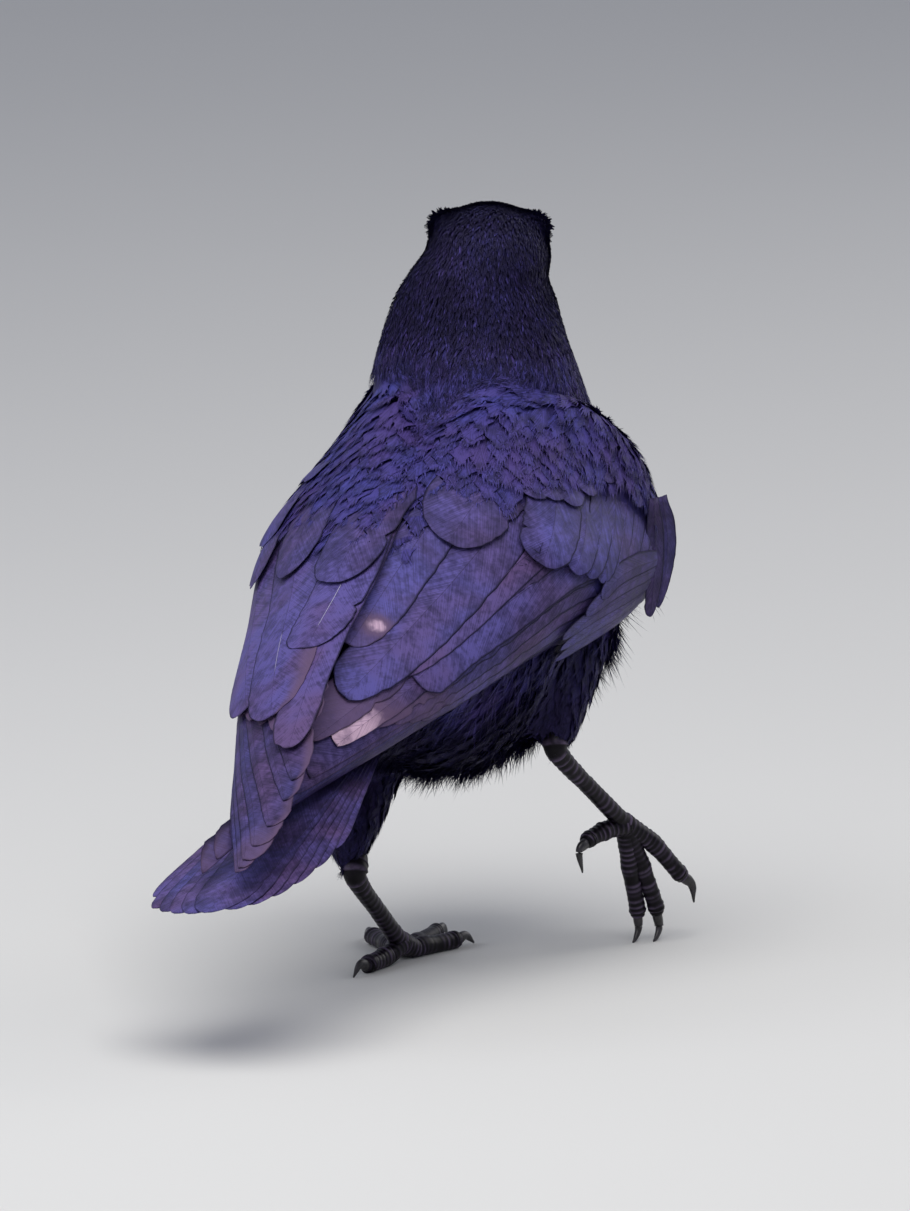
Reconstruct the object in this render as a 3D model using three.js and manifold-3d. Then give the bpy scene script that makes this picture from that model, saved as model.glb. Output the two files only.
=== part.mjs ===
// Carrion crow, life size, in mid stride: left foot flat on the floor, right foot reaching with its toe tips.
// Millimetres, +Z up. The bird faces -Y and its left side is +X. The origin is on the floor, at the centre
// of the model's box. Body plumage, wings, tail and legs are each a solid, about 0.3 mm clear of each other.

import * as THREE from "three";
import { mergeVertices } from "three/addons/utils/BufferGeometryUtils.js";
import Module from "manifold-3d";

const wasm = await Module();
wasm.setup();

// ---- Driving dimensions -------------------------------------------------------------------------------

const HIPS = { forward: 33.8, left: -1.6 }; // where the hips' plumb line stands, from the origin
const GAP = 0.35; // clearance between neighbouring solids

const HEAD_CENTRE = [58, 0, 264]; // forward, left, up
const HEAD_TURN = 16; // degrees to the bird's left
const HEAD_NOD = -4; // degrees, bill below level
const BILL_LENGTH = 52; // from the forehead feathers to the tip
const EYE_RADIUS = 6.2;

const TAIL_ROOT = [-36, 0, 115];
const TAIL_PITCH = 18; // degrees below level
const TAIL_ROLL = 8; // degrees, the right side raised
const TAIL_SWING = 2; // degrees, the tip towards the right
const TAIL_LENGTH = 183; // central pair, from the root inside the body
const TAIL_STEP = 4; // each pair outwards is shorter by this
const TAIL_PAIRS = 6;
const TAIL_FAN = 13; // degrees, midline to the outermost shaft
const VANE = 1.1; // thickness of one feather blade
const THIN_EDGE = 0.8; // thickness at the rims of the wing's layers
const RECTRIX_WIDTH = 26;

const THIGH_RADIUS = 26; // with its feathers
const TARSUS_RADIUS = 2.5;
const ANKLE_RADIUS = 4.4;
const TOE_RADIUS = 3.1;
const CLAW_RADIUS = 2.1;
const CLAW_TIP = 0.55;

// Body plumage, tail end to head: top [forward, up], bottom [forward, up], half width, sideways shift of the middle.
const BODY = [
  { top: [-110, 90], bottom: [-110, 90], half: 0, left: 0 },
  { top: [-88, 116], bottom: [-84, 92], half: 17, left: 0 },
  { top: [-62, 144], bottom: [-56, 90], half: 30, left: 0 },
  { top: [-34, 166], bottom: [-30, 80], half: 41, left: 0 },
  { top: [-8, 186], bottom: [6, 75], half: 49, left: 0 },
  { top: [9, 201], bottom: [46, 79], half: 53, left: 0.5 },
  { top: [18, 214], bottom: [80, 96], half: 54, left: 1 },
  { top: [24, 226], bottom: [99, 129], half: 51, left: 2.5 },
  { top: [28, 238], bottom: [104, 166], half: 45, left: 4 },
  { top: [29, 251], bottom: [98, 199], half: 38, left: 5 },
  { top: [31, 264], bottom: [90, 225], half: 30.5, left: 3.5 },
  { top: [39, 272], bottom: [84, 244], half: 24, left: 1.5 },
  { top: [64, 262], bottom: [64, 262], half: 0, left: 0 },
];
const BELLY_FULLNESS = 0.72; // under 1, the lower half of each section is squarer than an ellipse

// Head plumage along its own axis: distance ahead of the centre, rise, half width, height above, depth below.
const HEAD = [
  { ahead: -26, rise: -4, half: 0, above: 0, below: 0 },
  { ahead: -23, rise: -3, half: 14, above: 13, below: 13 },
  { ahead: -12, rise: 0, half: 22, above: 19, below: 20 },
  { ahead: 3, rise: 0, half: 24, above: 21, below: 21 },
  { ahead: 17, rise: -0.5, half: 21.5, above: 19, below: 18.5 },
  { ahead: 28, rise: -2.5, half: 15.5, above: 14.5, below: 14.5 },
  { ahead: 37, rise: -4, half: 10.5, above: 10.5, below: 11 },
  { ahead: 42, rise: -4.5, half: 0, above: 0, below: 0 },
];

// One folded wing, wrist to tip: lower edge, outermost bulge and upper inner edge, each [forward, side, up].
const WING = [
  { edge: [90, 40, 144], bulge: [100, 56, 164], inner: [76, 40, 196] },
  { edge: [74, 58, 133], bulge: [80, 82, 158], inner: [50, 41, 212] },
  { edge: [44, 61, 127], bulge: [45, 85, 160], inner: [22, 25, 212] },
  { edge: [0, 53, 121], bulge: [0, 81, 161], inner: [-8, 13, 196] },
  { edge: [-42, 39, 109], bulge: [-47, 65, 137], inner: [-55, 5, 167] },
  { edge: [-88, 24, 96], bulge: [-92, 46, 117], inner: [-100, -1, 138] },
  { edge: [-132, 8, 83], bulge: [-136, 24, 96], inner: [-142, -12, 110] },
  { edge: [-164, 0, 74], bulge: [-168, 10, 84], inner: [-172, -20, 91] },
  { edge: [-188, -4, 67], bulge: [-193, -2, 73], inner: [-190, -19, 79] },
];
const LEFT_OVER_RIGHT = 4.5; // how far the left wing's rear half rides over the right one
const LEFT_OPEN = 9; // behind its wrist the left wing stands this much further out

// Standing legs, [forward, left, up].
const LEGS = {
  left: {
    knee: [16, 26, 112],
    ankle: [-40, 17, 43],
    foot: [6, 14, 7],
    digits: {
      hallux: { path: [[-6, 15, 3], [-19, 16, 2.2]], claw: [[-27, 16.5, 4.5], [-32, 17, 0.4]] },
      inner: { path: [[18, 11, 2.6], [36, 5, 2.2]], claw: [[43, 3, 4], [48, 1.5, 0.4]] },
      middle: { path: [[22, 15, 2.6], [47, 17, 2.2]], claw: [[55, 17.5, 4], [61, 18, 0.4]] },
      outer: { path: [[17, 23, 2.6], [31, 36, 2.2]], claw: [[36, 40, 4], [40, 43.5, 0.4]] },
    },
  },
  right: {
    knee: [56, -34, 144],
    ankle: [17, -45, 83],
    foot: [62, -55, 48],
    digits: {
      hallux: { path: [[51, -51, 50], [41, -48, 44]], claw: [[35, -47, 39], [40, -47, 32]] },
      inner: { path: [[68, -51, 32], [75, -48, 12]], claw: [[76, -48, 4.5], [70.5, -48.5, -0.7]] },
      middle: { path: [[72, -57, 32], [81, -60, 13]], claw: [[83, -60.5, 4.5], [77.5, -60.5, -0.7]] },
      outer: { path: [[73, -61, 40], [85, -68, 26]], claw: [[90, -71, 21], [90, -72, 14]] },
    },
  },
};

const COLOURS = { plumage: 0x17152a, flight: 0x1d1a30, horn: 0x121114, leg: 0x1b191d, eye: 0x1a0f0a };

// ---- Helpers ------------------------------------------------------------------------------------------

const at = ([forward, left, up]) => new THREE.Vector3(left + HIPS.left, HIPS.forward * -1 - forward, up);
const spline = (points) => new THREE.CatmullRomCurve3(points);
const degrees = THREE.MathUtils.degToRad;
const { lerp, smoothstep } = THREE.MathUtils;

const finish = (colour, roughness) => new THREE.MeshStandardMaterial({ color: colour, roughness, metalness: 0 });
const materials = {
  plumage: finish(COLOURS.plumage, 0.7),
  flight: finish(COLOURS.flight, 0.5),
  horn: finish(COLOURS.horn, 0.35),
  leg: finish(COLOURS.leg, 0.5),
  eye: finish(COLOURS.eye, 0.1),
};

// A geometry as a solid. The faces are turned round where the shape came out inside out.
function solid(geometry) {
  const bare = geometry.clone();
  bare.deleteAttribute("normal");
  bare.deleteAttribute("uv");
  const merged = mergeVertices(bare, 1e-4);
  const build = (triVerts) =>
    new wasm.Manifold(
      new wasm.Mesh({ numProp: 3, vertProperties: merged.attributes.position.array, triVerts }),
    );
  const faces = new Uint32Array(merged.index.array);
  const made = build(faces);
  return made.volume() > 0 ? made : build(faces.reverse());
}

// A sphere's grid laid over any closed form: point(v, angle) with v from 0 to 1 along it.
function skin(radial, along, point) {
  const geometry = new THREE.SphereGeometry(1, radial, along);
  const { position, uv } = geometry.attributes;
  for (let i = 0; i < position.count; i++) {
    const [v, turn] = [uv.getY(i), (uv.getX(i) % 1) * 2 * Math.PI];
    const end = v === 0 || v === 1; // each end closes in one point
    const p = end ? point(v, 0).lerp(point(v, Math.PI), 0.5) : point(v, turn);
    position.setXYZ(i, p.x, p.y, p.z);
  }
  return solid(geometry);
}

// A round limb along a curve, from one radius to another, with rounded ends.
function limb(points, radius, { radial = 8, along = 8, squash = 1 } = {}) {
  const curve = spline(points);
  const up = new THREE.Vector3(0.1, 0.2, 1).normalize();
  return skin(radial, along, (v, angle) => {
    const tangent = curve.getTangent(v);
    const side = new THREE.Vector3().crossVectors(tangent, up).normalize();
    const top = new THREE.Vector3().crossVectors(side, tangent);
    const r = radius(v) * Math.sqrt(1 - Math.abs(2 * v - 1) ** 8);
    const p = curve.getPoint(v);
    return p.addScaledVector(side, r * squash * Math.cos(angle)).addScaledVector(top, r * Math.sin(angle));
  });
}

const ball = (centre, radius, rings = 10) =>
  solid(new THREE.SphereGeometry(radius, rings, rings).translate(centre.x, centre.y, centre.z));

const largest = (made) => made.simplify(0.08).decompose().sort((a, b) => b.volume() - a.volume())[0];

// The half of space on the side of a plane that its normal points to, as a big block.
function halfSpace(point, normal) {
  const size = 800;
  const block = new THREE.BoxGeometry(size, size, size).translate(0, 0, size / 2);
  block.applyQuaternion(new THREE.Quaternion().setFromUnitVectors(new THREE.Vector3(0, 0, 1), normal));
  return solid(block.translate(point.x, point.y, point.z));
}

const FINE = { radial: 7, along: 9 }; // toes and claws
const SIDES = [["left", 1], ["right", -1]];
const model = new THREE.Group();
function add(name, made, material) {
  const { vertProperties, triVerts } = made.getMesh();
  const geometry = new THREE.BufferGeometry()
    .setAttribute("position", new THREE.BufferAttribute(vertProperties, 3))
    .setIndex(new THREE.BufferAttribute(triVerts, 1));
  const mesh = new THREE.Mesh(geometry, material);
  mesh.name = name;
  model.add(mesh);
}

// ---- Body plumage: trunk, neck, head --------------------------------------------------------------------

function bodySkin(grow) {
  const top = spline(BODY.map((s) => at([s.top[0], s.left, s.top[1]])));
  const bottom = spline(BODY.map((s) => at([s.bottom[0], s.left, s.bottom[1]])));
  const half = spline(BODY.map((s) => new THREE.Vector3(s.half, 0, 0)));
  return skin(22, 26, (v, angle) => {
    const high = top.getPoint(v);
    const low = bottom.getPoint(v);
    const centre = high.clone().add(low).multiplyScalar(0.5);
    const rise = high.sub(centre);
    rise.setLength(Math.max(rise.length(), 0.01) + grow);
    const wide = Math.abs(Math.cos(angle)) ** (Math.sin(angle) < 0 ? BELLY_FULLNESS : 1) * Math.sign(Math.cos(angle));
    centre.x += wide * (half.getPoint(v).x + grow);
    return centre.addScaledVector(rise, Math.sin(angle));
  });
}

const headPose = new THREE.Matrix4()
  .makeTranslation(at(HEAD_CENTRE))
  .multiply(new THREE.Matrix4().makeRotationZ(degrees(HEAD_TURN)))
  .multiply(new THREE.Matrix4().makeRotationX(degrees(-HEAD_NOD)));
// A point of the head by how far it is ahead of the head's centre, to its left and above it.
const onHead = (ahead, left, above) => new THREE.Vector3(left, -ahead, above).applyMatrix4(headPose);

function headSkin() {
  const axis = spline(HEAD.map((s) => new THREE.Vector3(s.ahead, s.rise, s.half)));
  const reach = spline(HEAD.map((s) => new THREE.Vector3(s.above, s.below, 0)));
  return skin(18, 15, (v, angle) => {
    const { x: ahead, y: rise, z: half } = axis.getPoint(v);
    const { x: above, y: below } = reach.getPoint(v);
    const height = Math.sin(angle) * (Math.sin(angle) > 0 ? above : below);
    return onHead(ahead, Math.max(half, 0) * Math.cos(angle), rise + height);
  });
}

// One half of the bill. The culmen arches to a blunt hooked tip and the lower edge stays almost straight.
function billHalf(isUpper) {
  const gape = -6.5;
  const base = { ahead: 27, half: 9, above: 12, below: 8.5 };
  return skin(12, 11, (v, angle) => {
    const along = 1 - v;
    const ahead = lerp(base.ahead, 37 + BILL_LENGTH - (isUpper ? 0 : 3), along);
    const droop = -4.5 * along ** 3;
    const taper = Math.sqrt(1 - along ** 2.4);
    const half = base.half * (1 - 0.72 * along) * Math.min(1, taper * 1.1);
    const depth = (isUpper ? base.above : base.below) * taper;
    const arc = Math.abs(Math.sin(angle)) * depth;
    const lip = gape + droop + (isUpper ? GAP / 2 : -GAP / 2);
    const height = Math.sin(angle) > 0 === isUpper ? (isUpper ? arc : -arc) : 0;
    return onHead(ahead, half * Math.cos(angle), lip + height);
  });
}

const bodyClear = bodySkin(GAP);
const neckBase = { point: at([70, 0, 206]), normal: new THREE.Vector3(0, -0.45, 1).normalize() };
const headBase = { point: at([62, 0, 246]), normal: new THREE.Vector3(0, -0.3, 1).normalize() };
const shifted = ({ point, normal }, by) => point.clone().addScaledVector(normal, by);

const head = headSkin();
const eyes = [1, -1].map((side) => onHead(17, side * 15.6, 4));
const bills = [billHalf(true), billHalf(false)];
const headAbove = halfSpace(shifted(headBase, GAP / 2), headBase.normal);
const headBelow = halfSpace(shifted(headBase, -GAP / 2), headBase.normal.clone().negate());
const neckAbove = halfSpace(shifted(neckBase, GAP / 2), neckBase.normal);
const neckBelow = halfSpace(shifted(neckBase, -GAP / 2), neckBase.normal.clone().negate());

const plumage = bodySkin(0).add(head);
let face = plumage.intersect(headAbove);
for (const eye of eyes) face = face.subtract(ball(eye, EYE_RADIUS + GAP, 10));
const billRoot = { point: onHead(36, 0, 0), normal: onHead(1, 0, 0).sub(onHead(0, 0, 0)).normalize() };
const beyondFace = halfSpace(billRoot.point, billRoot.normal);
const behindFace = halfSpace(shifted(billRoot, -GAP), billRoot.normal.clone().negate());

add("head", largest(face.intersect(behindFace)), materials.plumage);
add("neck", largest(plumage.intersect(headBelow).intersect(neckAbove)), materials.plumage);
["bill_upper", "bill_lower"].forEach((name, i) =>
  add(name, largest(bills[i].intersect(beyondFace)), materials.horn),
);
["eye_left", "eye_right"].forEach((name, i) => add(name, ball(eyes[i], EYE_RADIUS, 10), materials.eye));

// ---- Tail -----------------------------------------------------------------------------------------------

// The flat outline of one feather along +Y, from its quill to a round tip.
function featherOutline(length, width) {
  const shape = new THREE.Shape();
  shape.moveTo(-width * 0.22, 0);
  shape.lineTo(width * 0.22, 0);
  shape.lineTo(width * 0.5, length * 0.55);
  shape.bezierCurveTo(width * 0.52, length * 0.93, width * 0.34, length, 0, length);
  shape.bezierCurveTo(-width * 0.34, length, -width * 0.52, length * 0.93, -width * 0.5, length * 0.55);
  return shape;
}

function tailFan(thickness) {
  const blades = [];
  for (let pair = 0; pair < TAIL_PAIRS; pair++) {
    const share = (pair + 0.5) / (TAIL_PAIRS - 0.5);
    const shape = featherOutline(TAIL_LENGTH - TAIL_STEP * pair, RECTRIX_WIDTH);
    for (const side of [1, -1]) {
      const blade = new THREE.ExtrudeGeometry(shape, { depth: thickness, bevelEnabled: false, curveSegments: 3 });
      blade.translate(0, 0, -thickness / 2 - pair * VANE * 0.62 - (side < 0 ? 0.3 : 0));
      blade.rotateZ(-side * degrees(TAIL_FAN * share));
      blade.translate(side * 1.5, 0, 0);
      blade.rotateY(degrees(TAIL_ROLL));
      blade.rotateX(-degrees(TAIL_PITCH));
      blade.rotateZ(degrees(TAIL_SWING));
      const root = at(TAIL_ROOT);
      blades.push(solid(blade.translate(root.x, root.y, root.z)));
    }
  }
  return blades.reduce((all, blade) => all.add(blade));
}

const tail = tailFan(VANE);
const tailClear = tailFan(VANE + 2 * GAP);
add("tail", largest(tail.subtract(bodyClear)), materials.flight);

// ---- Wings ----------------------------------------------------------------------------------------------

// The wing's outer surface: s from the wrist (0) to the tip (1), t from the lower edge to the inner edge.
// It gives the place and the directions along, across and out of the wing there.
function wingSurface(side) {
  const line = (key) => spline(WING.map((w) => at([w[key][0], -w[key][1], w[key][2]])));
  const lines = [line("edge"), line("bulge"), line("inner")];
  const flat = (s, t) => {
    const [edge, bulge, inner] = lines.map((curve) => curve.getPoint(s));
    const p = edge.multiplyScalar((1 - t) ** 2);
    p.addScaledVector(bulge, 2 * t * (1 - t)).addScaledVector(inner, t * t);
    return side > 0 ? p.setX(2 * HIPS.left - p.x + LEFT_OPEN * smoothstep(s, 0, 0.4)) : p;
  };
  const step = 0.004;
  return (s, t) => {
    const [s0, t0] = [Math.min(s, 1 - step), Math.min(t, 1 - step)];
    const here = flat(s0, t0);
    const along = flat(s0 + step, t0).sub(here).normalize();
    const across = flat(s0, t0 + step).sub(here).normalize();
    const out = along.clone().cross(across).normalize().multiplyScalar(side);
    const over = side > 0 ? LEFT_OVER_RIGHT * smoothstep(s, 0.45, 0.8) : 0;
    return { place: flat(s, t).addScaledVector(out, over), along, across, out };
  };
}

// A layer of the wing between two lines s0(t) and s1(t), for t from t0(a) to t1(a), thinner at its rims.
function wingBlade(surface, { s0, s1, t0, t1, lift, thick, cells }, grow = 0) {
  const geometry = new THREE.BoxGeometry(2, 2, 1, cells[0], cells[1], 1);
  const position = geometry.attributes.position;
  for (let i = 0; i < position.count; i++) {
    const [x, y] = [position.getX(i), position.getY(i)];
    const [a, b] = [(x + 1) / 2, (y + 1) / 2];
    const t = lerp(t0(a), t1(a), b);
    const { place, along, across, out } = surface(lerp(s0(b), s1(b), a), t);
    const rim = Math.min(1, 5 * (1 - a), 5 * b, 5 * (1 - b));
    place.addScaledVector(out, lift(b) + position.getZ(i) * (lerp(THIN_EDGE, thick, rim) + 2 * grow));
    if (Math.abs(x) === 1) place.addScaledVector(along, x * grow);
    if (Math.abs(y) === 1) place.addScaledVector(across, y * grow);
    position.setXYZ(i, place.x, place.y, place.z);
  }
  return solid(geometry);
}

const BLADES = {
  // The alula, a loose feather that hangs at the wrist.
  alula: {
    s0: (t) => 0.05 - 0.02 * t, s1: (t) => 0.09 + 0.1 * t * (1 - t), t0: () => 0, t1: () => 0.5, lift: (b) => 2.6 + 7 * (1 - b) ** 2, thick: 1.2,
    cells: [3, 6],
  },
  // Greater, median and lesser coverts with the scapulars: the shoulder of the folded wing.
  coverts: {
    s0: () => 0, s1: (t) => 0.3 + 0.2 * t ** 2, t0: () => 0, t1: () => 1, lift: () => 0.3, thick: 2.4, cells: [9, 8],
  },
  // Secondaries with the tertials over them, reaching furthest back along the inner edge.
  secondaries: {
    s0: () => 0.22, s1: (t) => 0.42 + 0.3 * t ** 0.8, t0: () => 0.16, t1: () => 1, lift: () => -2, thick: 1.6, cells: [8, 6],
  },
  // Primaries along the lower edge to the wing's tip.
  primaries: {
    s0: () => 0.2, s1: (t) => 1 - 0.1 * (t - 0.4) ** 2, t0: () => 0, t1: (a) => lerp(0.42, 1, smoothstep(a, 0.3, 0.65)),
    lift: () => -4, thick: 1.8, cells: [11, 5],
  },
};

// From the outermost layer inwards, each is cut clear of all that lie over it; the left wing lies over the right.
const wings = {};
let covering = bodyClear.add(tailClear);
for (const [word, side] of SIDES) {
  const surface = wingSurface(side);
  for (const [part, spec] of Object.entries(BLADES)) {
    const name = "wing_" + word + "_" + part;
    wings[name] = largest(wingBlade(surface, spec).subtract(covering));
    covering = covering.add(wingBlade(surface, spec, GAP));
    add(name, wings[name], materials.flight);
  }
}

// ---- Legs -----------------------------------------------------------------------------------------------

let trunk = plumage.intersect(neckBelow).subtract(headAbove);

const aboveFloor = halfSpace(new THREE.Vector3(), new THREE.Vector3(0, 0, 1)); // gives the toes their flats

for (const [word, leg] of Object.entries(LEGS)) {
  const [knee, ankle, foot] = [leg.knee, leg.ankle, leg.foot].map(at);
  const shin = foot.clone().sub(ankle);
  const shaft = (grow) =>
    limb([ankle, ankle.clone().addScaledVector(shin, 0.5), foot],
      (v) => grow + TARSUS_RADIUS + (ANKLE_RADIUS - TARSUS_RADIUS) * (2 * v - 1) ** 4,
      { radial: 9, along: 9, squash: 0.85 });
  const middle = knee.clone().lerp(ankle, 0.5);
  const end = ankle.clone().add(ankle.clone().sub(knee).setLength(3));
  const thigh = limb([knee, middle, end], (v) => lerp(THIGH_RADIUS, 5.6, v), { radial: 14, along: 9 });
  add("thigh_" + word, largest(thigh.subtract(bodyClear).subtract(shaft(GAP))), materials.plumage);

  const heel = { point: foot.clone().addScaledVector(shin, -0.1), normal: shin.clone().normalize() };
  const below = halfSpace(shifted(heel, GAP), heel.normal);
  const above = halfSpace(heel.point, heel.normal.clone().negate());
  add("tarsus_" + word, largest(shaft(0).intersect(above)), materials.leg);

  let paw = ball(foot, ANKLE_RADIUS, 9).intersect(below);
  for (const [digit, { path, claw }] of Object.entries(leg.digits)) {
    const [near, far] = path.map(at);
    const [bend, tip] = claw.map(at);
    const reach = bend.clone().sub(far).normalize();
    const beyond = far.clone().addScaledVector(reach, 4);
    const inside = far.clone().addScaledVector(reach, -4);
    const toe = limb([foot, near, far, beyond], (v) => lerp(TOE_RADIUS, TOE_RADIUS - 0.5, v), FINE);
    const nail = limb([inside, far, bend, tip], (v) => lerp(CLAW_RADIUS, CLAW_TIP, v), { ...FINE, squash: 0.7 });
    paw = paw.add(toe.intersect(halfSpace(far, reach.clone().negate())));
    const free = nail.intersect(halfSpace(far.addScaledVector(reach, GAP), reach)).intersect(aboveFloor);
    add("claw_" + word + "_" + digit, largest(free), materials.horn);
  }
  const stump = shaft(GAP).intersect(halfSpace(shifted(heel, GAP), heel.normal.clone().negate()));
  add("foot_" + word, largest(paw.subtract(stump).intersect(aboveFloor)), materials.leg);
}

add("trunk", largest(trunk), materials.plumage);

export default model;
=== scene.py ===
"""A carrion crow as a still, life-size museum model.

The file is laid out as an add-on and run as a script.  Every piece is made by its own operator,
in metres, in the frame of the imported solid: the bird faces -Y, its left is +X, the floor is z = 0.
"""
import math

import bmesh
import bpy
import numpy as np
from bpy.props import (
    FloatProperty, FloatVectorProperty, IntProperty, PointerProperty,
)
from mathutils import Matrix, Vector
from mathutils.bvhtree import BVHTree
from mathutils.kdtree import KDTree


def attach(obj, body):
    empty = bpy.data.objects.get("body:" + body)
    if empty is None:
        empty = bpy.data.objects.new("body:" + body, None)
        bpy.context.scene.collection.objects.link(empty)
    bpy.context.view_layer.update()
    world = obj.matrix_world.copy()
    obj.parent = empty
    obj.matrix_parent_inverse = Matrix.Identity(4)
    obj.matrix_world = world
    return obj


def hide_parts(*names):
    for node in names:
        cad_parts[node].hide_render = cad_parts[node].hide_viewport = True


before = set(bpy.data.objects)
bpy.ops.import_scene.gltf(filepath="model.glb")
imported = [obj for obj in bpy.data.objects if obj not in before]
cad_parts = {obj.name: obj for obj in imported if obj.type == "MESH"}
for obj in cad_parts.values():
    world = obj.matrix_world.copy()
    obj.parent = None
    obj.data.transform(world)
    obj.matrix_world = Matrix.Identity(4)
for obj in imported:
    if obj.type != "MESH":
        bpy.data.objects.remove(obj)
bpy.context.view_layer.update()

bl_info = {
    "name": "Carrion crow",
    "version": (1, 0, 0),
    "blender": (4, 5, 0),
    "location": "3D View > Sidebar > Crow",
    "description": "Builds the skin, coat, wings, tail, legs, bill and eyes of a life-size crow",
    "category": "Object",
}

MM = 0.001
HIPS_FORWARD, HIPS_LEFT = 33.8, -1.6
HEAD_CENTRE, HEAD_TURN, HEAD_NOD = (58, 0, 264), 16, -4
FLESH = ("head", "neck", "trunk", "thigh_left", "thigh_right")


# ---------------------------------------------------------------- places

def at(points):
    """Forward, left and up in millimetres from the hips' line, as places in the frame."""
    p = np.asarray(points, float)
    return np.stack([p[..., 1] + HIPS_LEFT, -HIPS_FORWARD - p[..., 0], p[..., 2]], -1) * MM


def turned(axis, degrees):
    """The 3 x 3 matrix of a turn about axis 0, 1 or 2."""
    c, s = math.cos(math.radians(degrees)), math.sin(math.radians(degrees))
    a, b = [(1, 2), (2, 0), (0, 1)][axis]
    m = np.eye(3)
    m[a, a] = m[b, b] = c
    m[a, b], m[b, a] = -s, s
    return m


HEAD_POSE = turned(2, HEAD_TURN) @ turned(0, -HEAD_NOD)


def on_head(points):
    """Ahead, left and above the middle of the head, in millimetres, as places in the frame."""
    p = np.asarray(points, float)
    local = np.stack([p[..., 1], -p[..., 0], p[..., 2]], -1) * MM
    return at(HEAD_CENTRE) + local @ HEAD_POSE.T


def unit(v):
    return v / np.maximum(np.linalg.norm(v, axis=-1, keepdims=True), 1e-12)


def smooth(x, low, high):
    x = np.clip((np.asarray(x, float) - low) / (high - low), 0, 1)
    return x * x * (3 - 2 * x)


def through(points, x):
    """A smooth curve through points, at x from 0 to 1, carried on straight beyond its ends."""
    p = np.asarray(points, float)
    n, x = len(p), np.asarray(x, float)
    inside = np.clip(x, 0, 1) * (n - 1)
    i = np.minimum(inside.astype(int), n - 2)
    w = (inside - i)[..., None]
    ends = np.concatenate([[2 * p[0] - p[1]], p, [2 * p[-1] - p[-2]]])
    p0, p1, p2, p3 = ends[i], ends[i + 1], ends[i + 2], ends[i + 3]
    step = [np.maximum(np.linalg.norm(b - a, axis=-1, keepdims=True) ** 0.5, 1e-6)
            for a, b in ((p0, p1), (p1, p2), (p2, p3))]
    d0, d1, d2 = step
    t1 = ((p1 - p0) / d0 - (p2 - p0) / (d0 + d1) + (p2 - p1) / d1) * d1
    t2 = ((p2 - p1) / d1 - (p3 - p1) / (d1 + d2) + (p3 - p2) / d2) * d1
    curve = (p1 + t1 * w + (-3 * p1 + 3 * p2 - 2 * t1 - t2) * w ** 2
             + (2 * p1 - 2 * p2 + t1 + t2) * w ** 3)
    past = np.where(x > 1, (x - 1) * (n - 1), np.where(x < 0, x * (n - 1), 0))[..., None]
    slope = np.where((x > 1)[..., None], p[-1] - p[-2], p[1] - p[0])
    return curve + past * slope


# ---------------------------------------------------------------- the folded wing's surface

# Lower edge, bulge and inner edge of the folded wing at nine stations from wrist to tip:
# forward, side and up in millimetres.
WING_LINES = (
    ((90, 40, 144), (100, 56, 164), (76, 40, 196)), ((74, 58, 133), (80, 82, 158), (50, 41, 212)),
    ((44, 61, 127), (45, 85, 160), (22, 25, 212)), ((0, 53, 121), (0, 81, 161), (-8, 13, 196)),
    ((-42, 39, 109), (-47, 65, 137), (-55, 5, 167)), ((-88, 24, 96), (-92, 46, 117), (-100, -1, 138)),
    ((-132, 8, 83), (-136, 24, 96), (-142, -12, 110)), ((-164, 0, 74), (-168, 10, 84), (-172, -20, 91)),
    ((-188, -4, 67), (-193, -2, 73), (-190, -19, 79)),
)
LEFT_OPEN, LEFT_OVER_RIGHT = 9, 4.5


class Sheet:
    """A surface that feathers lie on, at s along it and t across it."""

    def slopes(self, s, t):
        """The ways along and across the sheet, and the way out of it."""
        step = 1e-3
        along = (self.place(s + step, t) - self.place(s - step, t)) / (2 * step)
        across = (self.place(s, t + step) - self.place(s, t - step)) / (2 * step)
        return along, across, unit(np.cross(along, across)) * self.side


class Wing(Sheet):
    """A folded wing: s runs from wrist to tip, t from the lower edge to the inner edge."""

    def __init__(self, side):
        self.side = side
        self.lines = np.array(WING_LINES, float)
        self.lines[..., 1] *= side

    def place(self, s, t):
        s, t = np.broadcast_arrays(np.asarray(s, float), np.asarray(t, float))
        edge, bulge, inner = (through(at(self.lines[:, k]), s) for k in range(3))
        within = np.minimum(t, 1)[..., None]
        p = edge * (1 - within) ** 2 + bulge * 2 * within * (1 - within) + inner * within ** 2
        # Past its inner edge the sheet lies nearly flat over the back.
        p = p + np.maximum(t - 1, 0)[..., None] * 2 * (inner - bulge) * np.array([1, 1, 0.12])
        if self.side > 0:
            p = p + np.array([LEFT_OPEN * MM, 0, 0]) * smooth(s, 0, 0.4)[..., None]
        return p


def lay(sheet, s, t, height):
    """Places at a height in metres over a sheet, and the way out there."""
    s, t = np.broadcast_arrays(np.asarray(s, float), np.asarray(t, float))
    out = sheet.slopes(s, t)[2]
    lift = np.asarray(height, float) + 0.0 * s
    if sheet is WINGS["left"]:
        lift = lift + LEFT_OVER_RIGHT * MM * smooth(s, 0.45, 0.8)
    return sheet.place(s, t) + out * lift[..., None], out


WINGS = {"left": Wing(1), "right": Wing(-1)}


# ---------------------------------------------------------------- meshes as arrays

def read_mesh(items, key, width, kind=float):
    """One property of a mesh's items as an array, (items, width)."""
    flat = np.empty(len(items) * width, kind)
    items.foreach_get(key, flat)
    return flat.reshape(-1, width)


def store(mesh, label, values):
    """Keeps a number for each vertex under a name that the materials read."""
    mesh.attributes.new(label, "FLOAT", "POINT").data.foreach_set("value", values.astype(np.float32))


def linked(name, data):
    """A new object in the scene."""
    made = bpy.data.objects.new(name, data)
    bpy.context.scene.collection.objects.link(made)
    return made


def ridden(piece):
    """Makes a piece one of the bird's own."""
    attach(piece, "root")
    return piece


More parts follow.
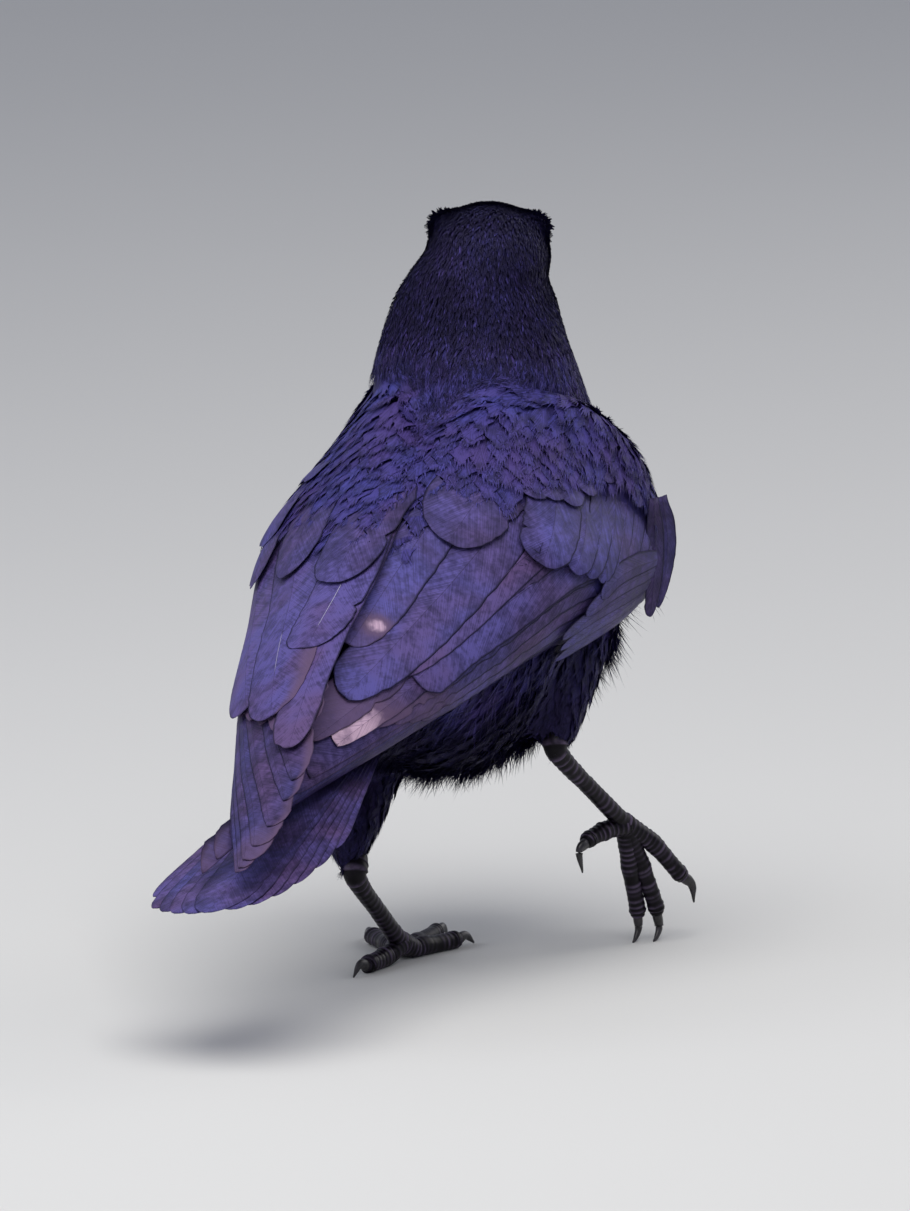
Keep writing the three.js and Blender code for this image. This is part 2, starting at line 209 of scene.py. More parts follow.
# ---------------------------------------------------------------- vanes as joined meshes

class Plumage:
    """Collects vanes as arrays and joins them into one mesh.

    A vane is a grid of rows along its shaft and columns across it.  With an underside it is a
    thin closed blade; without one it is a single leaf.  Hairs are slivers of one face each."""

    VALUES = ("tint", "rim", "shaft", "wear", "tone")

    def __init__(self):
        self.parts, self.size = [], 0

    def add(self, top, vane, bake, values, under=None, cell=0.003):
        """top and under are (feathers, rows, columns, 3); vane holds across and along in metres;
        bake is each feather's corner in the map; values are (feathers, rows, columns)."""
        n, r, c = top.shape[:3]
        grid = np.arange(n * r * c).reshape(n, r, c)
        quads = [np.stack([grid[:, :-1, :-1], grid[:, :-1, 1:], grid[:, 1:, 1:], grid[:, 1:, :-1]], -1)]
        points = [top.reshape(-1, 3)]
        wide, long = (cell, cell) if np.isscalar(cell) else cell
        flat = np.stack(np.broadcast_arrays(np.linspace(0, wide, c)[None, :],
                                            np.linspace(0, long, r)[:, None]), -1)
        map_top = bake[:, None, None] + flat
        maps = [map_top.reshape(-1, 2)]
        vanes = [vane.reshape(-1, 2)]
        held = {k: [np.broadcast_to(values[k], (n, r, c)).reshape(-1)] for k in self.VALUES}
        count = n * r * c
        if under is not None:
            inner = under[:, 1:-1, 1:-1]
            below = grid.copy()
            below[:, 1:-1, 1:-1] = count + np.arange(inner[..., 0].size).reshape(inner.shape[:3])
            quads.append(np.stack([below[:, :-1, :-1], below[:, 1:, :-1],
                                   below[:, 1:, 1:], below[:, :-1, 1:]], -1))
            points.append(inner.reshape(-1, 3))
            maps.append(map_top[:, 1:-1, 1:-1].reshape(-1, 2))
            vanes.append(vane[:, 1:-1, 1:-1].reshape(-1, 2))
            for k in self.VALUES:
                held[k].append(np.broadcast_to(values[k], (n, r, c))[:, 1:-1, 1:-1].reshape(-1))
            count += inner[..., 0].size
        quads = np.concatenate([q.reshape(-1, 4) for q in quads])
        self.parts.append((np.concatenate(points), quads + self.size, np.zeros((0, 3), int),
                           np.concatenate(maps), np.concatenate(vanes),
                           {k: np.concatenate(v) for k, v in held.items()}))
        self.size += count

    def add_hairs(self, base, end, side, bake, tone, tint):
        """One sliver from each base place to its end, side being half its width; all are (hairs, 3)
        but bake, (hairs, 2), and tone and tint, (hairs,)."""
        n = len(base)
        points = np.stack([base - side, base + side, end], 1).reshape(-1, 3)
        long = np.linalg.norm(end - base, axis=1)
        vane = np.zeros((n, 3, 2))
        vane[:, 0, 0], vane[:, 1, 0], vane[:, 2, 1] = -0.0002, 0.0002, long
        maps = bake[:, None] + np.array([[0.0012, 0.001], [0.0018, 0.001], [0.0015, 0.002]])
        held = {k: np.zeros(3 * n) for k in self.VALUES}
        held["tone"], held["tint"] = np.repeat(tone, 3), np.repeat(tint, 3)
        tris = np.arange(3 * n).reshape(n, 3)
        self.parts.append((points, np.zeros((0, 4), int), tris + self.size, maps.reshape(-1, 2),
                           vane.reshape(-1, 2), held))
        self.size += 3 * n

    def piece(self, name, material, slot):
        points = np.concatenate([p[0] for p in self.parts])
        quads = np.concatenate([p[1] for p in self.parts])
        tris = np.concatenate([p[2] for p in self.parts])
        corners = np.concatenate([quads.ravel(), tris.ravel()])
        starts = np.concatenate([np.arange(len(quads)) * 4, len(quads) * 4 + np.arange(len(tris)) * 3])
        mesh = bpy.data.meshes.new(name)
        mesh.vertices.add(len(points))
        mesh.loops.add(len(corners))
        mesh.polygons.add(len(starts))
        mesh.vertices.foreach_set("co", points.astype(np.float32).ravel())
        mesh.polygons.foreach_set("loop_start", starts.astype(np.int32))
        mesh.polygons.foreach_set("vertices", corners.astype(np.int32))
        mesh.polygons.foreach_set("use_smooth", np.ones(len(starts), bool))
        mesh.update(calc_edges=True)
        for label, k in (("OFBake", 3), ("Vane", 4)):
            layer = mesh.uv_layers.new(name=label)
            values = np.concatenate([p[k] for p in self.parts])[corners]
            layer.data.foreach_set("uv", values.astype(np.float32).ravel())
        for label in self.VALUES:
            store(mesh, label, np.concatenate([p[5][label] for p in self.parts]))
        mesh.materials.append(material)
        return ridden(linked(name, mesh))


# ---------------------------------------------------------------- shells from grids

def lofted(name, rings, material, slot, looped=False):
    """A closed, smooth shell through rings of points, (rings, points round, 3).  Its ends are filled,
    or, where it is looped, the last ring joins the first."""
    if looped:
        rings = np.concatenate([rings, rings[:1]])
    wrapped = np.concatenate([rings, rings[:, :1]], 1)
    bm = bmesh.new()
    bmesh.ops.create_grid(bm, x_segments=wrapped.shape[1] - 1, y_segments=len(wrapped) - 1, size=1)
    for vert, place in zip(bm.verts, wrapped.reshape(-1, 3)):
        vert.co = place
    bmesh.ops.remove_doubles(bm, verts=bm.verts, dist=1e-6)
    if not looped:
        bmesh.ops.holes_fill(bm, edges=[e for e in bm.edges if e.is_boundary], sides=0)
    bmesh.ops.recalc_face_normals(bm, faces=bm.faces)
    return finished(name, bm, material, slot)


def finished(name, bm, material, slot):
    """Turns a bmesh into a smooth object, which rides on the bird if it has a slot."""
    for face in bm.faces:
        face.smooth = True
    mesh = bpy.data.meshes.new(name)
    bm.to_mesh(mesh)
    bm.free()
    if material:
        mesh.materials.append(material)
    piece = linked(name, mesh)
    return ridden(piece) if slot else piece


def around(count):
    """Angles evenly round a circle."""
    return np.linspace(0, 2 * math.pi, count, endpoint=False)


def tube(centres, radii, count, wide, start=(0, 0, 1)):
    """Rings square to a line of centres: radii are (centres, 1) or (centres, count), wide is how wide
    the rings are for their height, and start is the way of their first point."""
    along, first = unit(np.gradient(centres, axis=0)), np.array(start, float)
    up = unit(first - along * (along @ first)[:, None])
    side, turn = np.cross(along, up), around(count)
    return (centres[:, None] + up[:, None] * (np.cos(turn) * radii)[..., None]
            + side[:, None] * (np.sin(turn) * radii * wide)[..., None])


# ---------------------------------------------------------------- finishes

def new_group(name, inputs, outputs):
    made = bpy.data.node_groups.new(name, "ShaderNodeTree")
    for label, kind, default in inputs:
        made.interface.new_socket(label, in_out="INPUT", socket_type=kind).default_value = default
    for label, kind in outputs:
        made.interface.new_socket(label, in_out="OUTPUT", socket_type=kind)
    return made, Wires(made)


class Wires:
    """Short ways to place and join shader nodes."""

    def __init__(self, tree):
        self.tree = tree

    def node(self, kind, **values):
        made = self.tree.nodes.new(("Node" if kind in ("GroupInput", "GroupOutput") else "ShaderNode") + kind)
        for key, value in values.items():
            setattr(made, key, value)
        return made

    def put(self, socket, value):
        if isinstance(value, bpy.types.NodeSocket):
            self.tree.links.new(value, socket)
        else:
            socket.default_value = value

    def fill(self, node, values):
        """Gives a node's inputs, by name, their values or what feeds them."""
        for label, value in values.items():
            self.put(node.inputs[label], value)

    def times(self, *values):
        """The product of all the values."""
        made = values[0]
        for value in values[1:]:
            made = self.maths("MULTIPLY", made, value)
        return made

    def bump(self, height, strength, distance):
        made = self.node("Bump")
        self.fill(made, {"Strength": strength, "Distance": distance, "Height": height})
        return made.outputs[0]

    def maths(self, operation, *values, clamp=False):
        made = self.node("Math", operation=operation, use_clamp=clamp)
        for socket, value in zip(made.inputs, values):
            self.put(socket, value)
        return made.outputs[0]

    def blend(self, share, first, second, kind="MIX"):
        made = self.node("Mix", data_type="RGBA", blend_type=kind)
        self.put(made.inputs[0], share)
        self.put(made.inputs[6], first)
        self.put(made.inputs[7], second)
        return made.outputs[2]

    def ramp(self, value, low, high, to_low=0.0, to_high=1.0):
        made = self.node("MapRange", interpolation_type="SMOOTHSTEP")
        for k, v in enumerate((value, low, high, to_low, to_high)):
            self.put(made.inputs[k], v)
        return made.outputs[0]

    def noise(self, vector, scale, detail=2.0, roughness=0.5):
        made = self.node("TexNoise")
        self.fill(made, {"Vector": vector, "Scale": scale, "Detail": detail, "Roughness": roughness})
        return made.outputs["Fac"]

    def value_of(self, name):
        return self.node("Attribute", attribute_name=name).outputs["Fac"]

    def place(self):
        return self.node("TexCoord").outputs["Object"]


def new_material(name):
    """A material with its wires and its main shader."""
    made = bpy.data.materials.new(name)
    made.use_nodes = True
    return made, Wires(made.node_tree), made.node_tree.nodes["Principled BSDF"]


def colour(*rgb):
    """A linear colour from 0 to 255 screen values."""
    return tuple(((c / 255 + 0.055) / 1.055) ** 2.4 if c > 10 else c / 255 / 12.92 for c in rgb) + (1.0,)


def barb_group():
    """Fine barbs running out and forward from a vane's shaft, with breaks between them."""
    made, w = new_group("Vane barbs", (("Pitch", "NodeSocketFloat", 0.0009),
                                       ("Slant", "NodeSocketFloat", 1.7),
                                       ("Grain", "NodeSocketFloat", 900.0)),
                        (("Barbs", "NodeSocketFloat"), ("Streaks", "NodeSocketFloat")))
    got = w.node("GroupInput")
    place = w.node("SeparateXYZ")
    w.put(place.inputs[0], w.node("UVMap", uv_map="Vane").outputs[0])
    across = w.maths("ABSOLUTE", place.outputs[0])
    along = w.maths("SUBTRACT", place.outputs[1], w.times(across, got.outputs["Slant"]))
    joined = w.node("CombineXYZ")
    w.fill(joined, {"X": w.times(along, got.outputs["Grain"]), "Y": w.times(across, 90.0),
                    "Z": w.times(w.value_of("tint"), 37.0)})
    uneven = w.noise(joined.outputs[0], 1.0, 3.0, 0.6)
    turn = w.maths("DIVIDE", w.times(along, 2 * math.pi), got.outputs["Pitch"])
    wave = w.maths("SINE", w.maths("ADD", turn, w.times(uneven, 5.0)))
    given = w.node("GroupOutput")
    w.put(given.inputs[0], w.maths("MULTIPLY_ADD", wave, 0.5, 0.5))
    w.put(given.inputs[1], w.ramp(uneven, 0.3, 0.7))
    return made


def plumage_group():
    """Feather colour from each vane's tone, wear and shaft, varied over the bird, with painted shade along
    its rim and a painted highlight on its shaft.
    """
    made, w = new_group("Crow plumage", (("Dark", "NodeSocketColor", colour(20, 17, 34)),
                                         ("Light", "NodeSocketColor", colour(70, 66, 128)),
                                         ("Warm", "NodeSocketColor", colour(78, 62, 104)),
                                         ("Worn", "NodeSocketColor", colour(104, 82, 108)),
                                         ("Bleached", "NodeSocketColor", colour(196, 166, 186)),
                                         ("Contrast", "NodeSocketFloat", 0.3),
                                         ("Barbs", "NodeSocketFloat", 0.5),
                                         ("Streaks", "NodeSocketFloat", 0.5)),
                        (("Color", "NodeSocketColor"), ("Roughness", "NodeSocketFloat"),
                         ("Height", "NodeSocketFloat")))
    got = w.node("GroupInput")
    place = w.place()
    broad = w.noise(place, 38.0, 2.0)
    fine = w.noise(place, 420.0, 2.0, 0.6)
    rim, tone, tint = w.value_of("rim"), w.value_of("tone"), w.value_of("tint")
    patchy = w.noise(place, 130.0, 3.0, 0.6)
    strands = w.ramp(got.outputs["Streaks"], 0.0, 1.0, -0.6, 0.5)
    # rim darkens the colour: painted shade along the edges and tips of the vanes
    light = w.times(tone, w.maths("SUBTRACT", 1.0, w.times(rim, 0.85)),
                    w.ramp(fine, 0.25, 0.75, 0.58, 1.28),
                    w.maths("MULTIPLY_ADD", strands, got.outputs["Contrast"], 1.0),
                    w.ramp(patchy, 0.3, 0.7, 0.64, 1.26), w.ramp(tint, 0.0, 1.0, 0.85, 1.12))
    hue = w.maths("ADD", w.times(w.ramp(broad, 0.35, 0.65), 0.55), w.times(tint, 0.55), clamp=True)
    sheen = w.blend(hue, got.outputs["Light"], got.outputs["Warm"])
    shade = w.blend(light, got.outputs["Dark"], sheen)
    wear = w.maths("MULTIPLY", w.value_of("wear"), w.ramp(patchy, 0.25, 0.6, 0.7, 1.0), clamp=True)
    shade = w.blend(w.ramp(wear, 0.0, 0.55), shade, got.outputs["Worn"])
    pale = w.times(w.ramp(wear, 0.5, 0.95), w.ramp(got.outputs["Streaks"], 0.1, 0.6, 0.55, 1.0))
    shade = w.blend(pale, shade, got.outputs["Bleached"])
    shaft = w.value_of("shaft")
    shade = w.blend(w.ramp(shaft, 0.35, 0.95, 0.0, 0.75), shade, colour(34, 27, 44))
    # painted highlight: a pale line along the shaft, where its value runs past the dark shaft's
    bright = w.ramp(shaft, 1.35, 1.9, 0.0, 1.0)
    shade = w.blend(bright, shade, colour(190, 186, 214))
    given = w.node("GroupOutput")
    w.put(given.inputs[0], shade)
    w.put(given.inputs[1], w.ramp(w.maths("ADD", fine, w.times(rim, 0.2)), 0.3, 0.9, 0.46, 0.66))
    w.put(given.inputs[2], w.maths("ADD", w.times(got.outputs["Barbs"], 0.6),
                                   w.times(got.outputs["Streaks"], 0.5)))
    return made


def feather_finish(name, groups, fine, looks, depth):
    """Feathers: fine is what the barbs' group is told, looks what the plumage's is, depth the bump's."""
    made, w, shader = new_material(name)
    barbs = w.node("Group", node_tree=groups["barbs"])
    w.fill(barbs, fine)
    plume = w.node("Group", node_tree=groups["plumage"])
    w.fill(plume, {**looks, "Barbs": barbs.outputs["Barbs"], "Streaks": barbs.outputs["Streaks"]})
    w.fill(shader, {"Base Color": plume.outputs["Color"], "Roughness": plume.outputs["Roughness"],
                    "Normal": w.bump(plume.outputs["Height"], 0.55, depth),
                    "Specular IOR Level": 0.3, "Specular Tint": (0.50, 0.45, 1.0, 1.0),
                    "Sheen Weight": 0.05, "Sheen Roughness": 0.45,
                    "Sheen Tint": colour(120, 110, 255)})
    return made


def horn_finish(name, base, other, roughness, scale, stretch, depth, specular, ridge=None):
    """Bill, claws and scutes: dark horn with fine growth marks and patchy roughness, and on scutes a painted
    highlight along their ridges in patches.
    """
    made, w, shader = new_material(name)
    mapping = w.node("Mapping")
    w.fill(mapping, {"Scale": stretch, "Vector": w.place()})
    marks = w.noise(mapping.outputs[0], scale, 4.0, 0.6)
    spots = w.noise(w.place(), scale * 0.35, 3.0)
    shade = w.blend(w.ramp(marks, 0.35, 0.72), base, other)
    if ridge is not None:
        # painted highlight on the ridge of each scute, in patches
        scute_highlight = w.times(w.value_of("ridge"), w.ramp(spots, 0.35, 0.65, 0.1, 0.9))
        shade = w.blend(scute_highlight, shade, ridge)
    w.fill(shader, {"Base Color": shade, "Normal": w.bump(marks, 0.5, depth),
                    "Roughness": w.ramp(spots, 0.3, 0.7, roughness - 0.08, roughness + 0.14),
                    "Specular IOR Level": specular})
    return made


# Key, name, two colours, roughness, grain, stretch, depth in metres, shine and the colour of the painted
# highlight on scute ridges.
HORNS = (
    ("bill", "bill horn", (13, 12, 15), (30, 28, 34), 0.36, 160, (1, 0.25, 1), 0.00012, 0.4),
    ("claw", "claw horn", (20, 18, 21), (46, 42, 48), 0.3, 300, (1, 1, 1), 0.00005, 0.5),
    ("scale", "scuted skin", (5, 4, 6), (14, 11, 17), 0.36, 420, (1, 1, 1), 0.0002, 0.12,
     colour(92, 80, 104)),
    ("lid", "bare lid", (8, 7, 9), (22, 20, 25), 0.55, 600, (1, 1, 1), 0.0001, 0.3),
)
FINISHES = {}


def opaque(rgb):
    return tuple(rgb) + (1.0,)


def finish_named(name):
    """The bird's materials, made once and shared by its pieces."""
    if not FINISHES:
        groups = {"barbs": barb_group(), "plumage": plumage_group()}
        s, wings = bpy.context.scene.crow_coat, bpy.context.scene.crow_wings
        shared = {"Dark": opaque(s.black), "Worn": opaque(s.worn)}
        FINISHES["body"] = feather_finish(
            "body feathers", groups, {"Pitch": 0.0007, "Slant": 4.0, "Grain": 600.0},
            {**shared, "Light": opaque(s.blue), "Warm": opaque(s.violet), "Contrast": 0.9}, 0.00012)
        FINISHES["flight"] = feather_finish(
            "flight feathers", groups, {"Pitch": 0.0010, "Slant": 1.7, "Grain": 1300.0},
            {**shared, "Light": opaque(wings.blue), "Warm": opaque(wings.violet), "Contrast": 0.52}, 0.0001)
        for key, label, base, other, *rest in HORNS:
            FINISHES[key] = horn_finish(label, colour(*base), colour(*other), *rest)
    return FINISHES[name]


# ---------------------------------------------------------------- lie and length of the coat

# A line inside the bird from the bill back to the tail: place, station, and 1 where it is on the head.
CORE = (
    ((36, 0, -5), 0.0, 1), ((18, 0, -1), 0.5, 1), ((0, 0, 0), 1.0, 1), ((-14, 0, -7), 1.5, 1),
    ((64, 4, 234), 1.9, 0), ((66, 4, 216), 2.3, 0), ((63, 3, 198), 2.7, 0), ((55, 2, 176), 3.1, 0),
    ((43, 1, 156), 3.5, 0), ((22, 0, 141), 4.0, 0), ((-4, 0, 131), 4.5, 0), ((-34, 0, 122), 5.0, 0),
    ((-62, 0, 112), 5.5, 0), ((-88, 0, 101), 6.0, 0), ((-116, 0, 88), 6.5, 0),
)
THIGHS = {"left": ((16, 26, 112), (-40, 17, 43)), "right": ((56, -34, 144), (17, -45, 83))}
EYES = ((17, 14.7, 4), (17, -14.7, 4))
# Station, vane length, half width, spacing and coat depth in millimetres.
LENGTHS = ((0.0, 2.4, 0.28, 0.50, 0.8), (0.5, 3.2, 0.30, 0.58, 0.9), (1.0, 4.2, 0.33, 0.66, 1.1),
           (1.6, 5.2, 0.38, 0.72, 1.3), (2.0, 6.5, 0.60, 0.95, 1.5), (2.4, 8.5, 1.1, 1.35, 1.7),
           (2.8, 11.0, 1.9, 1.9, 1.8), (3.2, 13.0, 2.8, 2.6, 1.9), (4.0, 16.0, 4.0, 3.6, 2.0),
           (5.0, 21.0, 4.8, 4.2, 2.0),
           (6.0, 30.0, 6.0, 5.0, 2.0), (6.6, 36.0, 7.0, 5.5, 1.8))


def at_station(station, column):
    table = np.array(LENGTHS)
    return np.interp(station, table[:, 0], table[:, column])


class Lie:
    """The way that the coat lies at any place, and how far back along the bird it is."""

    def __init__(self):
        self.core = np.array([(on_head(p) if head else at(p)) for p, _, head in CORE])
        self.stations = np.array([s for _, s, _ in CORE])
        self.ways = unit(np.gradient(self.core, axis=0))
        rows = []
        for wing in WINGS.values():
            s, t = np.meshgrid(np.linspace(-0.03, 0.50, 80), np.linspace(0, 1.12, 42))
            s, t = s.ravel(), t.ravel()
            along, across, out = wing.slopes(s, t)
            tilt = np.interp(t, (0, 0.5, 0.8, 0.9, 1.0, 1.12),
                             (0.4, 0.45, 0.36, 0.27, 0.16, 0.08))[:, None]
            rows.append(np.column_stack([wing.place(s, t), unit(along * 0.16 - across * tilt), s, t, out,
                                         np.full(len(s), wing.side)]))
        self.arm = np.concatenate(rows)
        self.near_arm = KDTree(len(self.arm))
        for i, row in enumerate(self.arm):
            self.near_arm.insert(row[:3], i)
        self.near_arm.balance()

    def on_thigh(self, p):
        """For each place, how far it belongs to a thigh, how far down, and that thigh's way."""
        share, down, way = np.zeros(len(p)), np.zeros(len(p)), np.zeros((len(p), 3))
        for knee, ankle in THIGHS.values():
            a, b = at(knee), at(ankle)
            line = b - a
            x = np.clip((p - a) @ line / (line @ line), 0, 1)
            d = np.linalg.norm(p - a - x[:, None] * line, axis=1)
            near = smooth(d / ((26 - 21 * x) * MM), 1.9, 1.25) * smooth(x, 0.1, 0.42)
            way = np.where((near > share)[:, None], unit(line), way)
            down = np.where(near > share, x, down)
            share = np.maximum(share, near)
        return share, down, way

    def on_wing(self, p):
        """For each place, how near a folded wing it is, and s, t, the way and the way out there."""
        found = [self.near_arm.find(q) for q in p]
        row = self.arm[[f[1] for f in found]]
        s, t, gap = row[:, 6], row[:, 7], np.array([f[2] for f in found])
        share = smooth(gap, 13 * MM, 5 * MM) * (s > -0.025)
        return share, s, t, row[:, 3:6], row[:, 8:11], row[:, 11]

    def read(self, p, n):
        """Unit ways along the surface at places p with normals n, and their stations."""
        d2 = ((p[:, None] - self.core) ** 2).sum(2)
        w = 1 / (d2 + (7 * MM) ** 2) ** 2
        w /= w.sum(1, keepdims=True)
        way, station = w @ self.ways, w @ self.stations
        thigh, down, thigh_way = self.on_thigh(p)
        way = unit(way) * (1 - thigh[:, None]) + thigh_way * thigh[:, None]
        near, s, t, wing_way, out, side = self.on_wing(p)
        facing = (n * out).sum(1)
        wing = near * smooth(facing, 0.1, 0.6) * (1 - thigh)
        way = way * (1 - wing[:, None]) + wing_way * wing[:, None]
        way = way - n * (way * n).sum(1, keepdims=True)
        return unit(way), station, {"thigh": thigh, "down": down, "wing": wing, "s": s, "t": t,
                                    "near": near, "facing": facing, "side": side}


LIE = Lie()


class Hide:
    """The skin's mesh as arrays: it finds places on it, and their normals and map points."""

    def __init__(self, piece):
        mesh = piece.data
        mesh.calc_loop_triangles()
        self.verts = read_mesh(mesh.vertices, "co", 3)
        self.normals = read_mesh(mesh.vertices, "normal", 3)
        self.tris = read_mesh(mesh.loop_triangles, "vertices", 3, int)
        loops = read_mesh(mesh.loop_triangles, "loops", 3, int)
        self.flat = read_mesh(mesh.uv_layers["OFBake"].data, "uv", 2)[loops]
        corners = self.verts[self.tris]
        self.area = np.linalg.norm(np.cross(corners[:, 1] - corners[:, 0],
                                            corners[:, 2] - corners[:, 0]), axis=1) / 2
        self.tree = BVHTree.FromPolygons(self.verts.tolist(), self.tris.tolist(), all_triangles=True)
        way, station, more = LIE.read(self.verts, self.normals)
        self.keys = list(more)
        self.facts = np.column_stack([self.normals, way, station, *more.values()])

    def nearest(self, p):
        """The nearest places on the skin, and the triangles that they are on."""
        found = [self.tree.find_nearest(q) for q in p]
        return np.array([f[0] for f in found]), np.array([f[2] for f in found])

    def read(self, i, p):
        """Normals, ways, stations and the rest of the coat's reading at places p on triangles i."""
        f = (self.weights(i, p)[:, :, None] * self.facts[self.tris[i]]).sum(1)
        n = unit(f[:, :3])
        way = unit(f[:, 3:6] - n * (f[:, 3:6] * n).sum(1, keepdims=True))
        return n, way, f[:, 6], dict(zip(self.keys, f[:, 7:].T))

    def weights(self, i, p):
        """How near places p on triangles i are to each of their corners."""
        a, b, c = (self.verts[self.tris[i, k]] for k in range(3))
        v0, v1, v2 = b - a, c - a, p - a
        d00, d01, d11 = (v0 * v0).sum(1), (v0 * v1).sum(1), (v1 * v1).sum(1)
        d20, d21 = (v2 * v0).sum(1), (v2 * v1).sum(1)
        base = np.maximum(d00 * d11 - d01 * d01, 1e-24)
        v, w = (d11 * d20 - d01 * d21) / base, (d00 * d21 - d01 * d20) / base
        return np.clip(np.stack([1 - v - w, v, w], 1), 0, 1)

    def map_at(self, i, p):
        """The map's points at places p on triangles i."""
        return (self.weights(i, p)[:, :, None] * self.flat[i]).sum(1)

    def scatter(self, rng, gap, wanted):
        """Roots at least their own gap apart: gap, in metres, and wanted are given for each triangle."""
        chance = self.area / gap ** 2 * wanted
        count = int(chance.sum() * 4.5)
        if not count:
            return np.zeros(0, int), np.zeros((0, 3))
        i = rng.choice(len(self.tris), count, p=chance / chance.sum())
        r = rng.random((count, 2))
        fold = r.sum(1) > 1
        r[fold] = 1 - r[fold]
        a, b, c = (self.verts[self.tris[i, k]] for k in range(3))
        p = a + (b - a) * r[:, :1] + (c - a) * r[:, 1:]
        size = gap.max() if gap.max() < 2.5 * gap.min() else np.quantile(gap, 0.98)
        cells = np.floor(p / size).astype(int).tolist()
        near, kept = {}, []
        places, limits = p.tolist(), np.minimum(gap[i], size).tolist()
        beside = [(x, y, z) for x in (-1, 0, 1) for y in (-1, 0, 1) for z in (-1, 0, 1)]
        for k in range(count):
            x, y, z = places[k]
            u, v, w = cells[k]
            limit = limits[k] ** 2
            if all((q[0] - x) ** 2 + (q[1] - y) ** 2 + (q[2] - z) ** 2 >= limit
                   for du, dv, dw in beside for q in near.get((u + du, v + dv, w + dw), ())):
                near.setdefault((u, v, w), []).append((x, y, z))
                kept.append(k)
        return i[kept], p[kept]


HIDE = {}


def coat_depth(n, station, more):
    """How far the skin lies inside the coat's tips, in metres."""
    depth = at_station(station, 4) * (1 + 0.9 * smooth(n[:, 2], 0.2, -0.4) * smooth(station, 2.6, 3.6))
    depth = depth * (1 - more["thigh"]) + np.interp(more["down"], (0.3, 1), (2.6, 1.0)) * more["thigh"]
    return (depth * (1 - more["wing"]) + 2.2 * more["wing"]) * MM


def coat_tone(station, more, n):
    """How light and blue the feathers are: dark on the head, and darker where the coat faces down under the
    belly, which is painted shade.
    """
    tone = np.interp(station, (0, 1.2, 1.9, 2.4, 2.75, 3.05, 3.4, 3.8, 6.5),
                     (0.07, 0.12, 0.48, 0.80, 0.62, 0.50, 0.66, 0.86, 0.75))
    # painted shade: the coat darkens where it faces down
    under = smooth(n[:, 2], 0.4, -0.15) * smooth(station, 2.6, 3.2)
    tone = tone * (1 - 0.85 * under)
    tone = tone * (1 - more["thigh"]) + 0.2 * more["thigh"]
    return tone * (1 - more["wing"]) + (0.72 + 0.28 * smooth(more["s"], 0.02, 0.25)) * more["wing"]


# ---------------------------------------------------------------- vanes on the skin

CAMBER = 0.08  # how far a small vane's edges bend down, as a share of its half width


def leaf_profile(v, base, full, tip):
    """Half width along a vane as a share of its widest: base at the root, 1 from full on, and tip at
    the end."""
    rise = base + (1 - base) * smooth(v, 0, full)
    return rise * (1 - (1 - tip) * smooth(v, 0.72, 1.0))


# Where the coat stands up a little: place, reach and height in millimetres, and 1 where on the head.
RAISED = (
    ((6, 21, 13.5), 5.5, 3.0, 1), ((6, -21, 13.5), 5.5, 3.0, 1), ((58, 33, 252), 7, 2.6, 0),
    ((58, -32, 252), 7, 2.6, 0),
)
# How far back a wing's coat reaches between its feathers' roots: t, then s, on either side.
WING_COAT = {
    1: ((0, 0.2, 0.36, 0.5, 0.65, 0.8, 1), (0.02, 0.08, 0.15, 0.27, 0.36, 0.42, 0.46)),
    -1: ((0, 0.3, 0.6, 0.76, 0.83, 0.86, 0.895, 0.94, 0.97, 1.0, 1.04),
         (0.04, 0.08, 0.115, 0.16, 0.30, 0.345, 0.375, 0.40, 0.42, 0.44, 0.48)),
}
# How each patch of coat grows: how much its feathers' tones vary, then what vanes_over is told.
PATCHES = {
    "head": (0.7, dict(rows=4, cols=3, stray=0.24, round_tip=0.1, tip=0.3, lift=(0.2, 1.2))),
    "nape": (0.6, dict(rows=4, cols=5, stray=0.18, round_tip=0.12, tip=0.35, lift=(0.15, 1.2),
                       hairs=dict(many=5, long=4.0, wide=0.36, start=0.4, spark=0.6))),
    "collar": (0.35, dict(rows=5, cols=5, stray=0.16, round_tip=0.16, tip=0.42, lift=(0.13, 1.15),
                          hairs=dict(many=12, long=4.2, wide=0.46, start=0.3, spark=0.55))),
    "body": (0.10, dict(rows=5, cols=7, stray=0.14, tip=0.5,
                        hairs=dict(many=20, long=4.5, wide=0.6, start=0.15, spark=0.5))),
    "belly": (0.10, dict(rows=5, cols=4, stray=0.22, tip=0.4, lift=(0.1, 1.3),
                         hairs=dict(many=16, long=9.0, wide=0.50, climb=(0.05, 0.8)))),
    "wing": (0.10, dict(rows=5, cols=7, stray=0.12, tip=0.5,
                        hairs=dict(many=18, long=3.8, wide=0.55, start=0.25, spark=0.4))),
    "thigh": (0.10, dict(rows=5, cols=4, stray=0.18, tip=0.4,
                         hairs=dict(many=7, long=3.6, wide=0.36))),
}


def spines(hide, rng, tri, p, length, rows, stray):
    """The line of each vane's middle, laid back along the skin from its root, and the ways out."""
    place = p
    n, way, _, _ = hide.read(tri, p)
    turn = rng.normal(0, stray, len(p))[:, None]
    spine, out = [place], [n]
    for _ in range(rows - 1):
        way = way * np.cos(turn) + np.cross(n, way) * np.sin(turn)
        place, at_tri = hide.nearest(place + way * length[:, None] / (rows - 1))
        n, way, _, _ = hide.read(at_tri, place)
        spine.append(place)
        out.append(n)
    return np.stack(spine, 1), np.stack(out, 1)


def raised(rng, p):
    """How far the ends of vanes with roots p stand up, in metres."""
    up = np.zeros(len(p))
    for spot, reach, amount, head in RAISED:
        d = np.linalg.norm(p - (on_head(spot) if head else at(spot)), axis=1)
        up = np.maximum(up, amount * MM * np.exp(-(d / reach / MM) ** 2) * rng.random(len(p)) ** 0.5)
    return up


